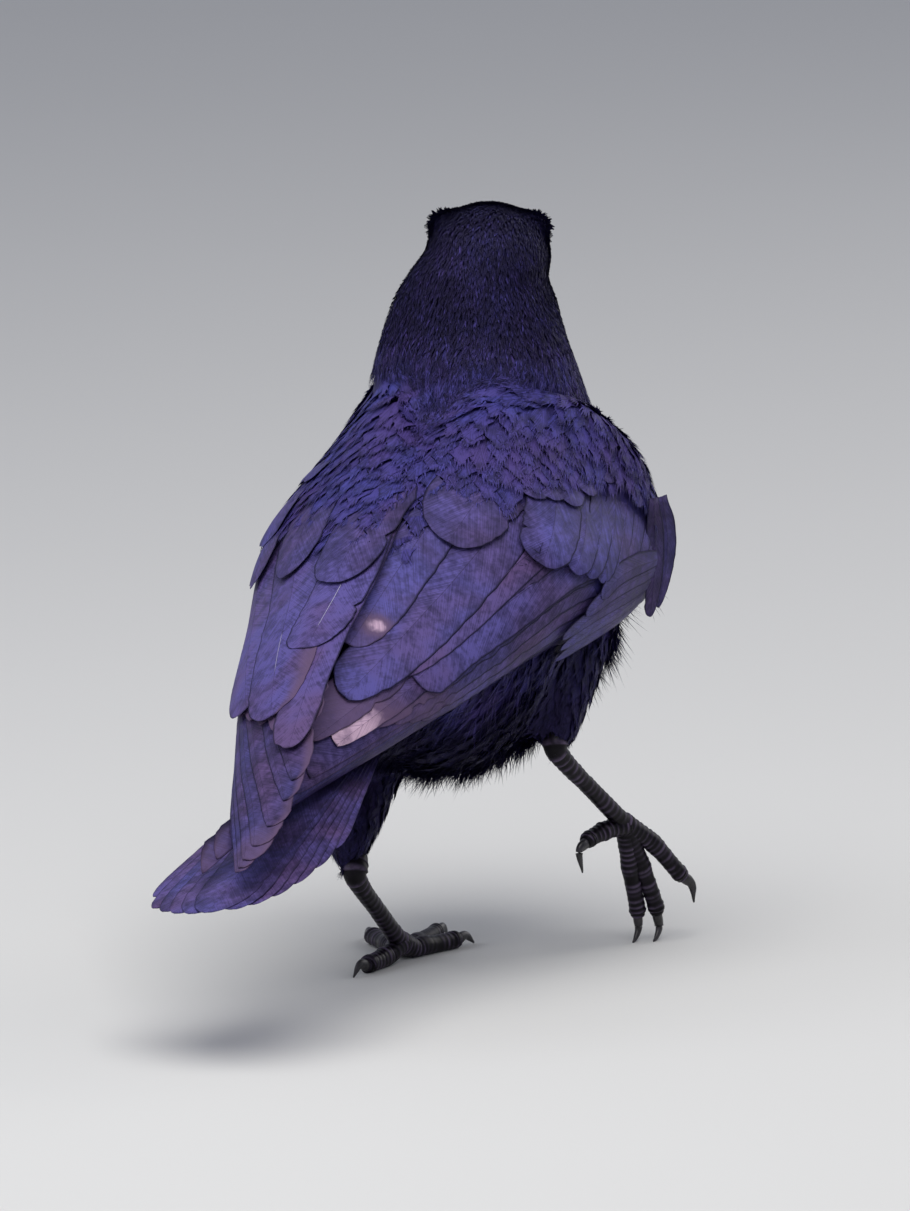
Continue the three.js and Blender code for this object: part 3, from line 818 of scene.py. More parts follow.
def vanes_over(coat, hide, rng, tri, p, length, half, depth, tone, rows, cols, stray, tip,
               round_tip=0.22, lift=(0.12, 1.1), hairs=None):
    """Grows vanes from roots p on the skin's triangles tri, laid back along it, and their hairs.

    length, half width and depth, in metres, and tone are arrays.  The vanes turn by stray at each
    row, narrow to tip and round off by round_tip, and stand lift times the depth off the skin at
    their roots and ends.  hairs is what grow_hairs is told, if there are any."""
    count = len(p)
    spine, facing = spines(hide, rng, tri, p, length, rows, stray)
    up = raised(rng, p)
    facing = unit(facing + 0.5 * facing.mean(1, keepdims=True))
    along = unit(np.gradient(spine, axis=1))
    across = unit(np.cross(along, facing))
    v = np.linspace(0, 1, rows)[None, :, None]
    u = np.linspace(-1, 1, cols)[None, None, :]
    wide = half[:, None, None] * leaf_profile(v, 0.4, 0.45, tip)
    rise = depth[:, None, None] * (lift[0] + (lift[1] - lift[0]) * v ** 0.8)
    rise = rise * rng.normal(1, 0.07, count)[:, None, None] - CAMBER * wide * u ** 2
    rise = rise + up[:, None, None] * v ** 2
    back = length[:, None, None] * round_tip * u ** 2 * smooth(v, 0.3, 1)
    fray = rng.normal(0, 0.02, (count, rows, cols)) * length[:, None, None] * (v > 0.5)
    top = (spine[:, :, None] + across[:, :, None] * (wide * u)[..., None]
           + facing[:, :, None] * rise[..., None]
           - along[:, :, None] * (back + fray)[..., None])
    vane = np.stack(np.broadcast_arrays(wide * u, length[:, None, None] * v), -1)
    ones = np.ones((count, rows, cols))
    tint = rng.random(count)
    # rim is painted shade: darker along a vane's edges and towards its tip
    values = {"tint": ones * tint[:, None, None],
              "rim": np.clip(np.abs(u) ** 3 * 0.45 + smooth(v, 0.75, 1.0) * 0.5, 0, 1) * ones,
              "shaft": (1 - np.minimum(np.abs(u) * 4, 1)) * 0.4 * ones * (v > 0.05),
              "wear": 0 * ones, "tone": tone[:, None, None] * ones}
    bake = hide.map_at(tri, p) - 0.0015
    coat.add(top, vane, bake, values)
    if hairs:
        grow_hairs(coat, rng, top, (along, across, facing), tone, tint, bake, **hairs)


def grow_hairs(coat, rng, top, ways, tone, tint, bake, many, long, wide, start=0.5, spark=0.3,
               climb=(-0.01, 0.1)):
    """Grows many hairs from each vane in top, long and wide in millimetres.  Half of them root near
    its end and half anywhere past start; they climb out of it, and their tone varies by spark."""
    count, rows, cols = top.shape[:3]
    size, k = (count, many), np.arange(count)[:, None]
    share = (np.arange(many) + rng.random(size)) / many * 1.9 - 0.95
    deep = np.where(rng.random(size) < 0.5, rng.uniform(0.9, 1.0, size), rng.uniform(start, 1.0, size))
    row, col = deep * (rows - 1), (share + 1) / 2 * (cols - 1)
    i, j = np.minimum(row.astype(int), rows - 2), np.minimum(col.astype(int), cols - 2)
    a, b = (row - i)[..., None], (col - j)[..., None]
    root = ((top[k, i, j] * (1 - b) + top[k, i, j + 1] * b) * (1 - a)
            + (top[k, i + 1, j] * (1 - b) + top[k, i + 1, j + 1] * b) * a)
    ahead, side, out = (way[k, i] for way in ways)
    reach = (long * MM * rng.uniform(0.45, 1.35, size))[..., None]
    lean = (rng.normal(0, 0.13, size) + 0.3 * share)[..., None]
    climbing = rng.uniform(*climb, size)[..., None]
    root = root + out * 0.08 * MM
    end = root + (ahead + side * lean + out * climbing) * reach
    half = (wide * MM / 2 * rng.uniform(0.6, 1.3, size))[..., None]
    light = tone[:, None] * np.exp(rng.normal(0.0, spark, size)) * np.where(deep > 0.9, 0.85, 1.1)
    coat.add_hairs(root.reshape(-1, 3), end.reshape(-1, 3), (side * half).reshape(-1, 3),
                   np.repeat(bake, many, 0), light.ravel(), np.repeat(tint, many))


def clear_of_face(p):
    """True where coat may root: off the eyes and behind the bill's root."""
    clear = np.ones(len(p), bool)
    for eye in EYES:
        rim = np.array(eye) + (1.1, 3.9 * np.sign(eye[1]), 0)
        clear &= np.linalg.norm(p - on_head(rim), axis=1) > 4.9 * MM
    front, root = HEAD_POSE @ np.array([0, -1.0, 0]), on_head((36.2, 0, 0))
    return clear & (((p - root) @ front < 0) | (np.linalg.norm(p - root, axis=1) > 26 * MM))


def zone_of(n, station, more):
    """Which patch of coat each place belongs to, from its reading."""
    zone = np.full(len(n), "body", dtype="<U6")
    zone[(n[:, 2] < -0.05) & (station > 2.7)] = "belly"
    ragged = 0.16 * np.sin(31 * station + 53 * n[:, 0] + 37 * n[:, 2])
    zone[station < 2.98 + ragged] = "collar"
    zone[station < 2.42 + ragged] = "nape"
    zone[station < 1.75] = "head"
    zone[(n[:, 2] > 0.1) & (station > 3.9) & (station < 5.9)] = "none"
    zone[more["thigh"] > 0.5] = "thigh"
    edge = np.where(more["side"] > 0, np.interp(more["t"], *WING_COAT[1]),
                    np.interp(more["t"], *WING_COAT[-1]))
    near = (more["near"] > 0.5) & (more["s"] > 0) & ~((more["t"] < 0.03) & (more["s"] > 0.1))
    zone[near & (more["facing"] > 0.35)] = "wing"
    zone[near & (more["s"] > np.where(more["facing"] > 0.35, edge, np.minimum(edge, 0.08)))] = "none"
    return zone


# ---------------------------------------------------------------- vanes on the wings and tail

class FlatSheet(Sheet):
    """A nearly flat sheet: s runs from its root along its length, t across it in tenths of a metre."""

    def __init__(self, root, along, across, side, sag=0.0):
        self.root, self.along, self.across, self.side = root, along, unit(across), side
        self.drop = unit(np.cross(along, across)) * side * sag

    def place(self, s, t):
        s, t = np.broadcast_arrays(np.asarray(s, float), np.asarray(t, float))
        s, t = s[..., None], t[..., None]
        return self.root + s * self.along + t * 0.1 * self.across - t ** 2 * self.drop


TAIL_LENGTH = 183 * MM
TAIL_TURN = turned(2, 2) @ turned(0, -18) @ turned(1, 8)
TAIL = FlatSheet(at((-36, 0, 115)), TAIL_TURN @ np.array([0, TAIL_LENGTH, 0]),
                 TAIL_TURN @ np.array([1, 0, 0]), -1, 0.008)
# The small feathers of each wrist hang down it, half turned to the side.
ALULAS = {side: FlatSheet(at((63, 69 * hand, 171)),
                          at((64.5, 67.5 * hand, 131)) - at((63, 69 * hand, 171)),
                          at((0.93, 0.37 * hand, 0)) - at((0, 0, 0)), -hand)
          for side, hand in (("left", 1), ("right", -1))}


SHAFT, SHAFT_HALF = 0.9, 0.0006  # how dark a blade's shaft is, and half its width in metres
QUILL = 0.55  # a blade's width at its root, as a share of its widest


def split(rng, v, wide, depth, where):
    """How much of a blade's width is left along it, with one gap between its barbs."""
    return 1 - np.exp(-((v - where) / wide) ** 2) * rng.uniform(*depth)


def blade_outline(rng, v, u, widths, starts, rising, point, splits, frayed, fringe):
    """How far a blade's places lie from its shaft, in metres, and its width as a share along it."""
    end = np.clip((v[:, None] - starts) / (1 - starts), 0, 1)
    profile = (QUILL + (1 - QUILL) * smooth(v, 0, 0.3)) * (1 - point * smooth(v, 0.35, 1.0))
    profile = profile[:, None] * np.sqrt(np.maximum(1 - end ** 2.2, 0.015))
    d = u[None, :] * widths[None, :] * profile
    near = np.abs(u) == 0.1
    d[:, near] = np.sign(u[near]) * SHAFT_HALF * (1 - 0.7 * v)[:, None]
    for _ in range(splits):
        where, hand = rng.uniform(0.45, 0.97), rng.choice([-1, 1])
        d[:, u * hand > 0.8] *= split(rng, v, 0.012, (0.1, 0.28), where)[:, None]
    for _ in range(frayed):
        where = rng.uniform(0.7, 0.95)
        d[:, -u * rising > 0.5] *= split(rng, v, 0.01, (0.3, 0.6), where)[:, None]
    rough = 1 + rng.normal(0, 0.018 + fringe, (2, len(v), 1))
    d[:, :3] *= rough[0]
    d[:, -3:] *= rough[1]
    return d, profile


def steps_for(along, across, side_way):
    """The change in s and in t for each metre along side_way, at places with those slopes."""
    g11, g12, g22 = (along * along).sum(1), (along * across).sum(1), (across * across).sum(1)
    b1, b2 = (along * side_way).sum(1), (across * side_way).sum(1)
    det = g11 * g22 - g12 ** 2
    return (g22 * b1 - g12 * b2) / det, (g11 * b2 - g12 * b1) / det


def blade(sheet, path, low, high, height, rng, rows, tone, splits, tip=(0.84, 0.84), wear=0.0,
          worn_from=0.75, point=0.0, camber=0.1, bright=None, thick=0.2, fringe=0.0,
          margin=(0, 0, 0), frayed=0, droop=0.25, spot=None, tint=None, outline=1.0):
    """One larger feather on a sheet.

    path is its shaft in s and t, low and high its half widths in millimetres towards falling and
    rising t, height its root and tip over the sheet, and tip where each side starts to round off.
    Its width narrows by point; it is camber high and thick through, and its end sinks by droop.
    splits and frayed count gaps in its edges, which are rough by fringe.  It is worn by wear past
    worn_from and at a spot (v, u), bright is where a painted highlight runs along its shaft,
    margin the side, amount and start of a bleached edge, and outline how dark the painted shade
    along its rim is."""
    x = np.linspace(0, 1, rows)
    v = 1 - (1 - x) ** 1.45
    q = through(path, v)
    ahead = (through(path, v + 1e-3) - through(path, v - 1e-3)) / 2e-3
    along, across, out = sheet.slopes(q[:, 0], q[:, 1])
    way = along * ahead[:, :1] + across * ahead[:, 1:]
    walk = sheet.place(*through(path, np.linspace(0, 1, 40)).T)
    long = np.linalg.norm(walk[1:] - walk[:-1], axis=1).sum()
    side_way = unit(np.cross(way, out))
    rising = -sheet.side
    line, fade = 1 - np.clip(np.array([0.35, 0.9]) / min(low, high), (0.02, 0.05), (0.08, 0.2))
    u = np.array([-1, -line, -fade, -0.75, -0.5, -0.3, -0.1, 0, 0.1, 0.3, 0.5, 0.75, fade, line, 1.0])
    widths = np.where(u * rising > 0, high, low) * MM
    starts = np.where(u * rising > 0, tip[1], tip[0])[None, :]
    d, profile = blade_outline(rng, v, u, widths, starts, rising, point, splits, frayed, fringe)
    ds, dt = steps_for(along, across, side_way)
    s, t = q[:, :1] + ds[:, None] * d, q[:, 1:] + dt[:, None] * d
    rise = height[0] + (height[1] - height[0]) * (1 - (1 - v[:, None]) ** 2)
    rise = rise - camber * u ** 2 * profile
    rise = rise + 0.2 * (1 - 0.75 * v[:, None]) * (u == 0) - droop * smooth(v, 0.86, 1)[:, None]
    rise = rise + rng.normal(0, 0.02, rise.shape) * (np.abs(u) > 0.8)
    top, way_out = lay(sheet, s, t, rise * MM)
    inner = (1 - np.abs(u) ** 4)[None, :, None] * np.minimum(1, (1 - v) * 8 + 0.2)[:, None, None]
    under = top - way_out * thick * MM * inner
    # rim is painted shade: a dark line along the blade's edges and tip
    rim = np.clip((np.abs(u) >= line)[None, :] + smooth(v, 0.985, 1.0)[:, None], 0, 1) * outline
    mark = np.zeros_like(rim) + (u == 0) * SHAFT
    # painted highlight along the shaft, between the two shares given for it
    if bright is not None:
        shine = (u == 0) * smooth(v, bright[0] - 0.06, bright[0])[:, None]
        mark = mark + shine * smooth(v, bright[1] + 0.06, bright[1])[:, None] * (2.2 - SHAFT)
    worn = wear * smooth(v, worn_from - 0.12, worn_from + 0.06)[:, None] + 0 * rim
    if spot is not None:
        worn = worn + 0.9 * np.exp(-((v[:, None] - spot[0]) / 0.05) ** 2 - ((u - spot[1]) / 0.45) ** 2)
    edge = smooth(u * rising * margin[0], 0.35, 0.95)[None, :]
    edge = edge * smooth(v, margin[2], margin[2] + 0.15)[:, None]
    # The tone darkens towards the root and the sides: painted shade where the feathers above cover it.
    values = {"tint": np.full_like(rim, rng.random() if tint is None else tint), "rim": rim,
              "shaft": mark, "wear": np.maximum(worn, edge * margin[1]),
              "tone": tone * (0.7 + 0.34 * smooth(v, 0.1, 0.8))[:, None] * (1.08 - 0.34 * u ** 2)}
    vane = np.stack(np.broadcast_arrays(d, (long * v)[:, None]), -1)
    return top, under, vane, values


def add_blade(plumage, cell, *args, **kwargs):
    """Adds one blade with its own cell of the map: cells stand 32 across and 3 up."""
    top, under, vane, values = blade(*args, **kwargs)
    corner = np.array([[(cell % 32) / 32 + 0.003, (cell // 32) / 3 + 0.004]])
    plumage.add(top[None], vane[None], corner, {k: x[None] for k, x in values.items()},
                under=under[None], cell=(0.025, 0.32))


# How far along the folded wing each primary ends, outermost first.
PRIMARY_ENDS = {"left": (0.93, 1.01, 1.045, 1.06, 1.05, 1.03, 0.99, 0.93, 0.86, 0.82),
                "right": (0.80, 0.92, 1.0, 1.005, 0.96, 0.90, 0.85, 0.81, 0.775, 0.745)}
PRIMARY_COVERT_ENDS = ((0.37, -0.02), (0.378, 0.055), (0.388, 0.13), (0.355, 0.2), (0.33, 0.26))
# Path in s and t, two half widths in millimetres and what else blade is told.
TERTIALS = {
    "left": (
        ([(0.3, 0.4), (0.5, 0.55), (0.68, 0.72)], 14, 14, {}),
        ([(0.36, 1.1), (0.55, 1.12), (0.77, 1.06)], 9, 8, dict(wear=0.15, worn_from=0.86)),
        ([(0.36, 0.72), (0.55, 0.86), (0.715, 0.93)], 14, 17,
         dict(bright=(0.66, 0.78), tip=(0.84, 0.62), margin=(1, 0.5, 0.5))),
        ([(0.38, 1.05), (0.545, 1.07), (0.63, 1.04)], 12, 13, dict(bright=(0.52, 0.8), tip=(0.8, 0.7))),
    ),
    "right": (
        ([(0.3, 0.42), (0.453, 0.54), (0.53, 0.59), (0.592, 0.575)], 13.0, 9.5,
         dict(bright=(0.42, 0.86), tip=(0.82, 0.86))),
        ([(0.32, 0.60), (0.48, 0.65), (0.602, 0.675)], 8.5, 9.5, dict(tip=(0.6, 0.85))),
        ([(0.34, 0.77), (0.5, 0.775), (0.657, 0.79)], 15.5, 11, dict(tip=(0.52, 0.88))),
        ([(0.38, 0.95), (0.5, 0.94), (0.606, 0.925)], 12.5, 9,
         dict(tip=(0.6, 0.88), wear=0.2, worn_from=0.8, spot=(0.84, -0.5))),
    ),
}
# Root, middle and tip in s and t, and half width in millimetres.
GREATER_COVERTS = (
    ((0.07, 0.5), (0.14, 0.26), (0.19, 0.13), 4.6), ((0.10, 0.54), (0.17, 0.33), (0.22, 0.22), 4.8),
    ((0.12, 0.58), (0.19, 0.38), (0.243, 0.28), 5.0), ((0.135, 0.615), (0.21, 0.42), (0.267, 0.30), 5.2),
    ((0.15, 0.645), (0.235, 0.435), (0.29, 0.305), 5.4),
    ((0.163, 0.69), (0.263, 0.455), (0.31, 0.31), 5.6),
    ((0.188, 0.705), (0.285, 0.475), (0.33, 0.34), 6.0),
    ((0.218, 0.72), (0.305, 0.51), (0.35, 0.385), 6.6),
    ((0.253, 0.73), (0.325, 0.555), (0.372, 0.44), 8.0),
    ((0.27, 0.82), (0.353, 0.66), (0.405, 0.56), 12.5),
)
MEDIAN_COVERTS = (
    ((0.095, 0.7), (0.12, 0.62), (0.16, 0.545), 4.6), ((0.10, 0.75), (0.155, 0.66), (0.193, 0.59), 5.0),
    ((0.12, 0.83), (0.155, 0.755), (0.19, 0.69), 5.4), ((0.143, 0.84), (0.19, 0.76), (0.223, 0.705), 6.0),
    ((0.203, 0.805), (0.243, 0.74), (0.275, 0.69), 7.0),
    ((0.248, 0.785), (0.285, 0.73), (0.315, 0.685), 7.5),
    ((0.268, 0.825), (0.305, 0.775), (0.333, 0.73), 7.5),
    ((0.288, 0.855), (0.323, 0.81), (0.353, 0.77), 8.0),
)
# Root and tip in s and t, and half width in millimetres.
SCAPULARS = {"left": (((0.32, 0.62), (0.455, 0.52), 11), ((0.34, 0.86), (0.50, 0.80), 13),
                      ((0.38, 1.1), (0.545, 1.04), 14)),
             "right": (((0.31, 0.90), (0.455, 0.865), 17),)}


def primaries(side):
    for k, s in enumerate(PRIMARY_ENDS[side]):
        if side == "left":
            path = [(0.2, 0.03 + 0.02 * k), (0.45, 0.12 + 0.04 * k),
                    (0.2 + 0.72 * (s - 0.2), 0.42 + 0.05 * k), (s, 0.86 + 0.24 * (k / 9))]
        else:
            path = [(0.2, 0.03 + 0.02 * k), (0.45, 0.02 + 0.026 * k),
                    (0.2 + 0.75 * (s - 0.2), 0.03 + 0.04 * k),
                    (s, 0.34 + 0.28 * (k / 9) if s > 0.9 else 0.10 + 0.42 * (k / 9))]
        yield (path, 3.0, 12.5 - 2 * (k < 3), (-6.2 + 0.4 * k, -5.8 + 0.4 * k),
               dict(point=0.35 if k < 5 else 0.15, tone=0.52, rows=40, splits=0, tip=(0.8, 0.86),
                    wear=0.3 if s > 0.93 else 0.05, worn_from=0.92,
                    margin=(1, 0.45, 0.7) if side == "left" else (-1, 0.2, 0.3)))


def secondaries(side):
    for k in range(6):
        path = [(0.2, 0.16 + 0.07 * k), (0.42, 0.2 + 0.075 * k), (0.60 + 0.018 * k, 0.26 + 0.082 * k)]
        wear = (0.2, 0.25, 0.3, 0.45, 1.0, 0.4)[k]
        if k >= 4:
            path[-1] = (0.70 + 0.012 * (k - 4), 0.60 + 0.14 * (k - 4))
        if side == "left":
            path = [(0.2, 0.16 + 0.1 * k), (0.45, 0.3 + 0.12 * k), (0.66 + 0.018 * k, 0.55 + 0.1 * k)]
            wear = 0.4
        yield (path, 5.5, 12.5, (-3.2 + 0.3 * k, -2.3 + 0.32 * k),
               dict(tone=0.66, wear=wear, tip=(0.8, 0.9), splits=2, worn_from=0.91 if k == 4 else 0.84,
                    fringe=0.02, rows=60, frayed=(0, 0, 2, 4, 0, 3)[k]))


def primary_coverts():
    for k, (s, t) in enumerate(PRIMARY_COVERT_ENDS):
        yield ([(0.15, 0.1 + 0.055 * k), (0.28, t + 0.07), (s, t)], 3.6, 5.2,
               (-2.6 + 0.4 * k, -1.4 + 0.42 * k),
               dict(tone=0.64 + 0.08 * (k % 2), tint=0.1, rows=24, splits=1, point=0.2))


def upper_feathers(side):
    """The tertials, greater and median coverts and scapulars, each over those before."""
    for k, (path, low, high, extra) in enumerate(TERTIALS[side]):
        yield (path, low, high, (-1.8 + 0.3 * k, -0.2 + 0.35 * k),
               dict(tone=1.0, rows=34, splits=1, **extra))
    for k, (*path, half) in enumerate(GREATER_COVERTS):
        yield (path, half, half, (-3.0 + 0.1 * k, -2.0 + 0.42 * k),
               dict(tone=0.74 + 0.07 * (k % 2), tint=max(0.0, 0.55 - 0.09 * k), rows=26, tip=(0.7, 0.82),
                    splits=1, point=0.1, droop=0.1 + 0.09 * k))
    for k, (*path, half) in enumerate(MEDIAN_COVERTS):
        yield (path, half, half, (-2.8, 0.7 + 0.12 * k),
               dict(tone=0.6, rows=18, tip=(0.5, 0.6), splits=1, fringe=0.03, tint=0.15, camber=0.3))
    for k, (a, b, half) in enumerate(SCAPULARS[side]):
        mid = (a[0] * 0.5 + b[0] * 0.5, a[1] * 0.45 + b[1] * 0.55)
        yield ([a, mid, b], half, half, (-4.4 + 0.3 * k, 1.5 + 0.2 * k),
               dict(tone=0.62, rows=24, tip=(0.6, 0.7), splits=1, tint=0.5, camber=0.3))


def alulas():
    """The two small feathers at the wrist."""
    shared = dict(rows=26, tip=(0.9, 0.6), splits=0)
    yield ([(-0.1, 0.02), (0.4, 0.045), (0.97, 0.0)], 5.0, 5.0, (-1.5, 0.2),
           dict(tone=0.5, point=0.3, **shared))
    yield ([(-0.1, -0.03), (0.5, -0.03), (1.04, -0.05)], 4.8, 5.2, (-1.0, 0.9),
           dict(tone=0.36, point=0.2, **shared))


def wing_feathers(side):
    """Every larger feather of a folded wing, lowest first: its sheet, path, half widths, heights and
    what else blade is told."""
    for group in (primaries(side), secondaries(side), primary_coverts(), upper_feathers(side)):
        for feather in group:
            yield (WINGS[side], *feather)
    for feather in alulas():
        yield (ALULAS[side], *feather)


# ---------------------------------------------------------------- what a user may change

class CrowCoatSettings(bpy.types.PropertyGroup):
    voxel: FloatProperty(name="Skin grain", description="Size of the skin's remeshed cells",
                         default=0.002, min=0.0012, max=0.005, unit="LENGTH")
    density: FloatProperty(name="Density", description="Share of the full number of small feathers",
                           default=1.0, min=0.1, max=1.5, subtype="FACTOR")
    seed: IntProperty(name="Seed", description="Seed of every random choice in the coat", default=11)
    black: FloatVectorProperty(name="Black", description="Colour of feather roots and shaded coat",
                               size=3, subtype="COLOR", default=colour(12, 10, 22)[:3])
    blue: FloatVectorProperty(name="Blue", description="Cooler gloss of the body feathers",
                              size=3, subtype="COLOR", default=colour(66, 66, 140)[:3])
    violet: FloatVectorProperty(name="Violet", description="Warmer gloss of the body feathers",
                                size=3, subtype="COLOR", default=colour(72, 58, 118)[:3])
    worn: FloatVectorProperty(name="Worn", description="Colour of bleached and frayed feather ends",
                              size=3, subtype="COLOR", default=colour(94, 74, 100)[:3])


class CrowWingSettings(bpy.types.PropertyGroup):
    blue: FloatVectorProperty(name="Blue", description="Cooler gloss of the flight feathers",
                              size=3, subtype="COLOR", default=colour(86, 82, 150)[:3])
    violet: FloatVectorProperty(name="Violet", description="Warmer gloss of the flight feathers",
                                size=3, subtype="COLOR", default=colour(92, 72, 116)[:3])
    tail_pairs: IntProperty(name="Tail pairs", description="Pairs of tail feathers", default=6, min=4, max=7)
    fan: FloatProperty(name="Tail fan", description="Turn of the outermost tail feather",
                       default=math.radians(13), unit="ROTATION")


class CrowBareSettings(bpy.types.PropertyGroup):
    bill_length: FloatProperty(name="Bill length", description="From the forehead feathers to the tip",
                               default=0.052, unit="LENGTH")
    eye_radius: FloatProperty(name="Eye radius", description="Radius of the eyeball",
                              default=0.0057, unit="LENGTH")
    scute: FloatProperty(name="Scute length", description="Length of one scute along a leg",
                         default=0.0034, unit="LENGTH")


class CrowStageSettings(bpy.types.PropertyGroup):
    azimuth: FloatProperty(name="Azimuth", description="Camera's turn round the bird",
                           default=math.radians(203), unit="ROTATION")
    elevation: FloatProperty(name="Elevation", description="Camera's height over the horizon",
                             default=math.radians(10), unit="ROTATION")
    distance: FloatProperty(name="Distance", description="Camera to bird", default=6.0, unit="LENGTH")
    lens: FloatProperty(name="Lens", description="Focal length on a 36 mm frame", default=472.7,
                        unit="CAMERA")
    floor: FloatVectorProperty(name="Floor", description="Colour of the floor", size=3,
                               subtype="COLOR", default=(0.62, 0.62, 0.60))
    key: FloatProperty(name="Key light", description="Power of the large overhead light", default=34.0,
                       unit="POWER")


# ---------------------------------------------------------------- operators

CAMERA_AIM = (-0.01094, -0.03777, 0.13886)


def facing(way):
    """The turn of a lamp or a camera that looks along a way."""
    return way.to_track_quat("-Z", "Y").to_euler()


class CROW_OT_stage(bpy.types.Operator):
    """Set up the floor, the soft lights and the camera"""
    bl_idname = "crow.stage"
    bl_label = "Stage"

    def execute(self, context):
        s, scene = context.scene.crow_stage, context.scene
        bm = bmesh.new()
        bmesh.ops.create_circle(bm, cap_ends=True, segments=96, radius=9)
        floor = finished("floor", bm, None, None)
        finish, w, shader = new_material("studio floor")
        share = w.ramp(w.noise(w.place(), 3.0, 2.0), 0.3, 0.7, 0.0, 0.06)
        w.fill(shader, {"Base Color": w.blend(share, opaque(s.floor), opaque(c * 0.9 for c in s.floor)),
                        "Roughness": 0.9, "Specular IOR Level": 0.2})
        floor.data.materials.append(finish)

        world = scene.world or bpy.data.worlds.new("studio")
        scene.world = world
        world.use_nodes = True
        back = world.node_tree.nodes["Background"]
        back.inputs[0].default_value = (0.80, 0.84, 1.0, 1.0)
        back.inputs[1].default_value = 0.40
        for name, place, size, power, tint in (
                ("overhead softbox", (-0.2, 0.5, 1.9), 1.6, s.key, (1.0, 0.98, 0.96)),
                ("rear softbox", (1.5, 1.6, 1.2), 1.3, s.key * 0.38, (0.93, 0.95, 1.0)),
                ("front softbox", (-1.0, -1.9, 1.1), 1.6, s.key * 0.34, (1.0, 0.97, 0.95))):
            light = bpy.data.lights.new(name, "AREA")
            light.size, light.energy, light.color = size, power, tint
            lamp = linked(name, light)
            lamp.location = place
            lamp.rotation_euler = facing(Vector((0, 0, 0.13)) - Vector(place))
        camera = linked("camera", bpy.data.cameras.new("camera"))
        away = Vector((math.sin(s.azimuth) * math.cos(s.elevation),
                       -math.cos(s.azimuth) * math.cos(s.elevation), math.sin(s.elevation)))
        camera.location = Vector(CAMERA_AIM) + away * s.distance
        camera.rotation_euler = facing(-away)
        camera.data.lens, camera.data.sensor_width = s.lens, 36
        camera.data.clip_start, camera.data.clip_end = 0.1, 100
        scene.camera = camera
        scene.view_settings.view_transform = "Standard"
        return {"FINISHED"}


def swell(bm, centre, turn, radii, fineness):
    """Adds an ellipsoid, its radii in millimetres."""
    place = Matrix.Translation(Vector(centre)) @ Matrix(turn @ np.diag(radii) * MM).to_4x4()
    bmesh.ops.create_icosphere(bm, subdivisions=fineness, radius=1, matrix=place)


def arm_rings(side, wing):
    """Rings round the flesh of a folded wing's arm, from its wrist back under the coverts."""
    rings, count = [], 16
    for x in np.linspace(-0.02, 0.50, 32):
        low = 0.03 + 0.70 * (smooth(x, 0.30, 0.5) if side == "left" else smooth(x, 0.26, 0.46))
        over = np.linspace(low, 1.12, count)
        full = 3.0 * smooth(x, 0.2, 0.06) * smooth(np.abs(over - 0.75), 0.3, 0.0)
        if side == "right":
            full = full + 1.5 * smooth(x, 0.42, 0.33) * smooth(np.abs(over - 0.9), 0.24, 0.1)
        t = np.concatenate([over, np.linspace(1.12, low, count)])
        height = np.concatenate([0.6 + full, np.full(count, -8.5)]) * MM
        rings.append(lay(wing, np.full(2 * count, x), t, height)[0])
    return np.stack(rings)


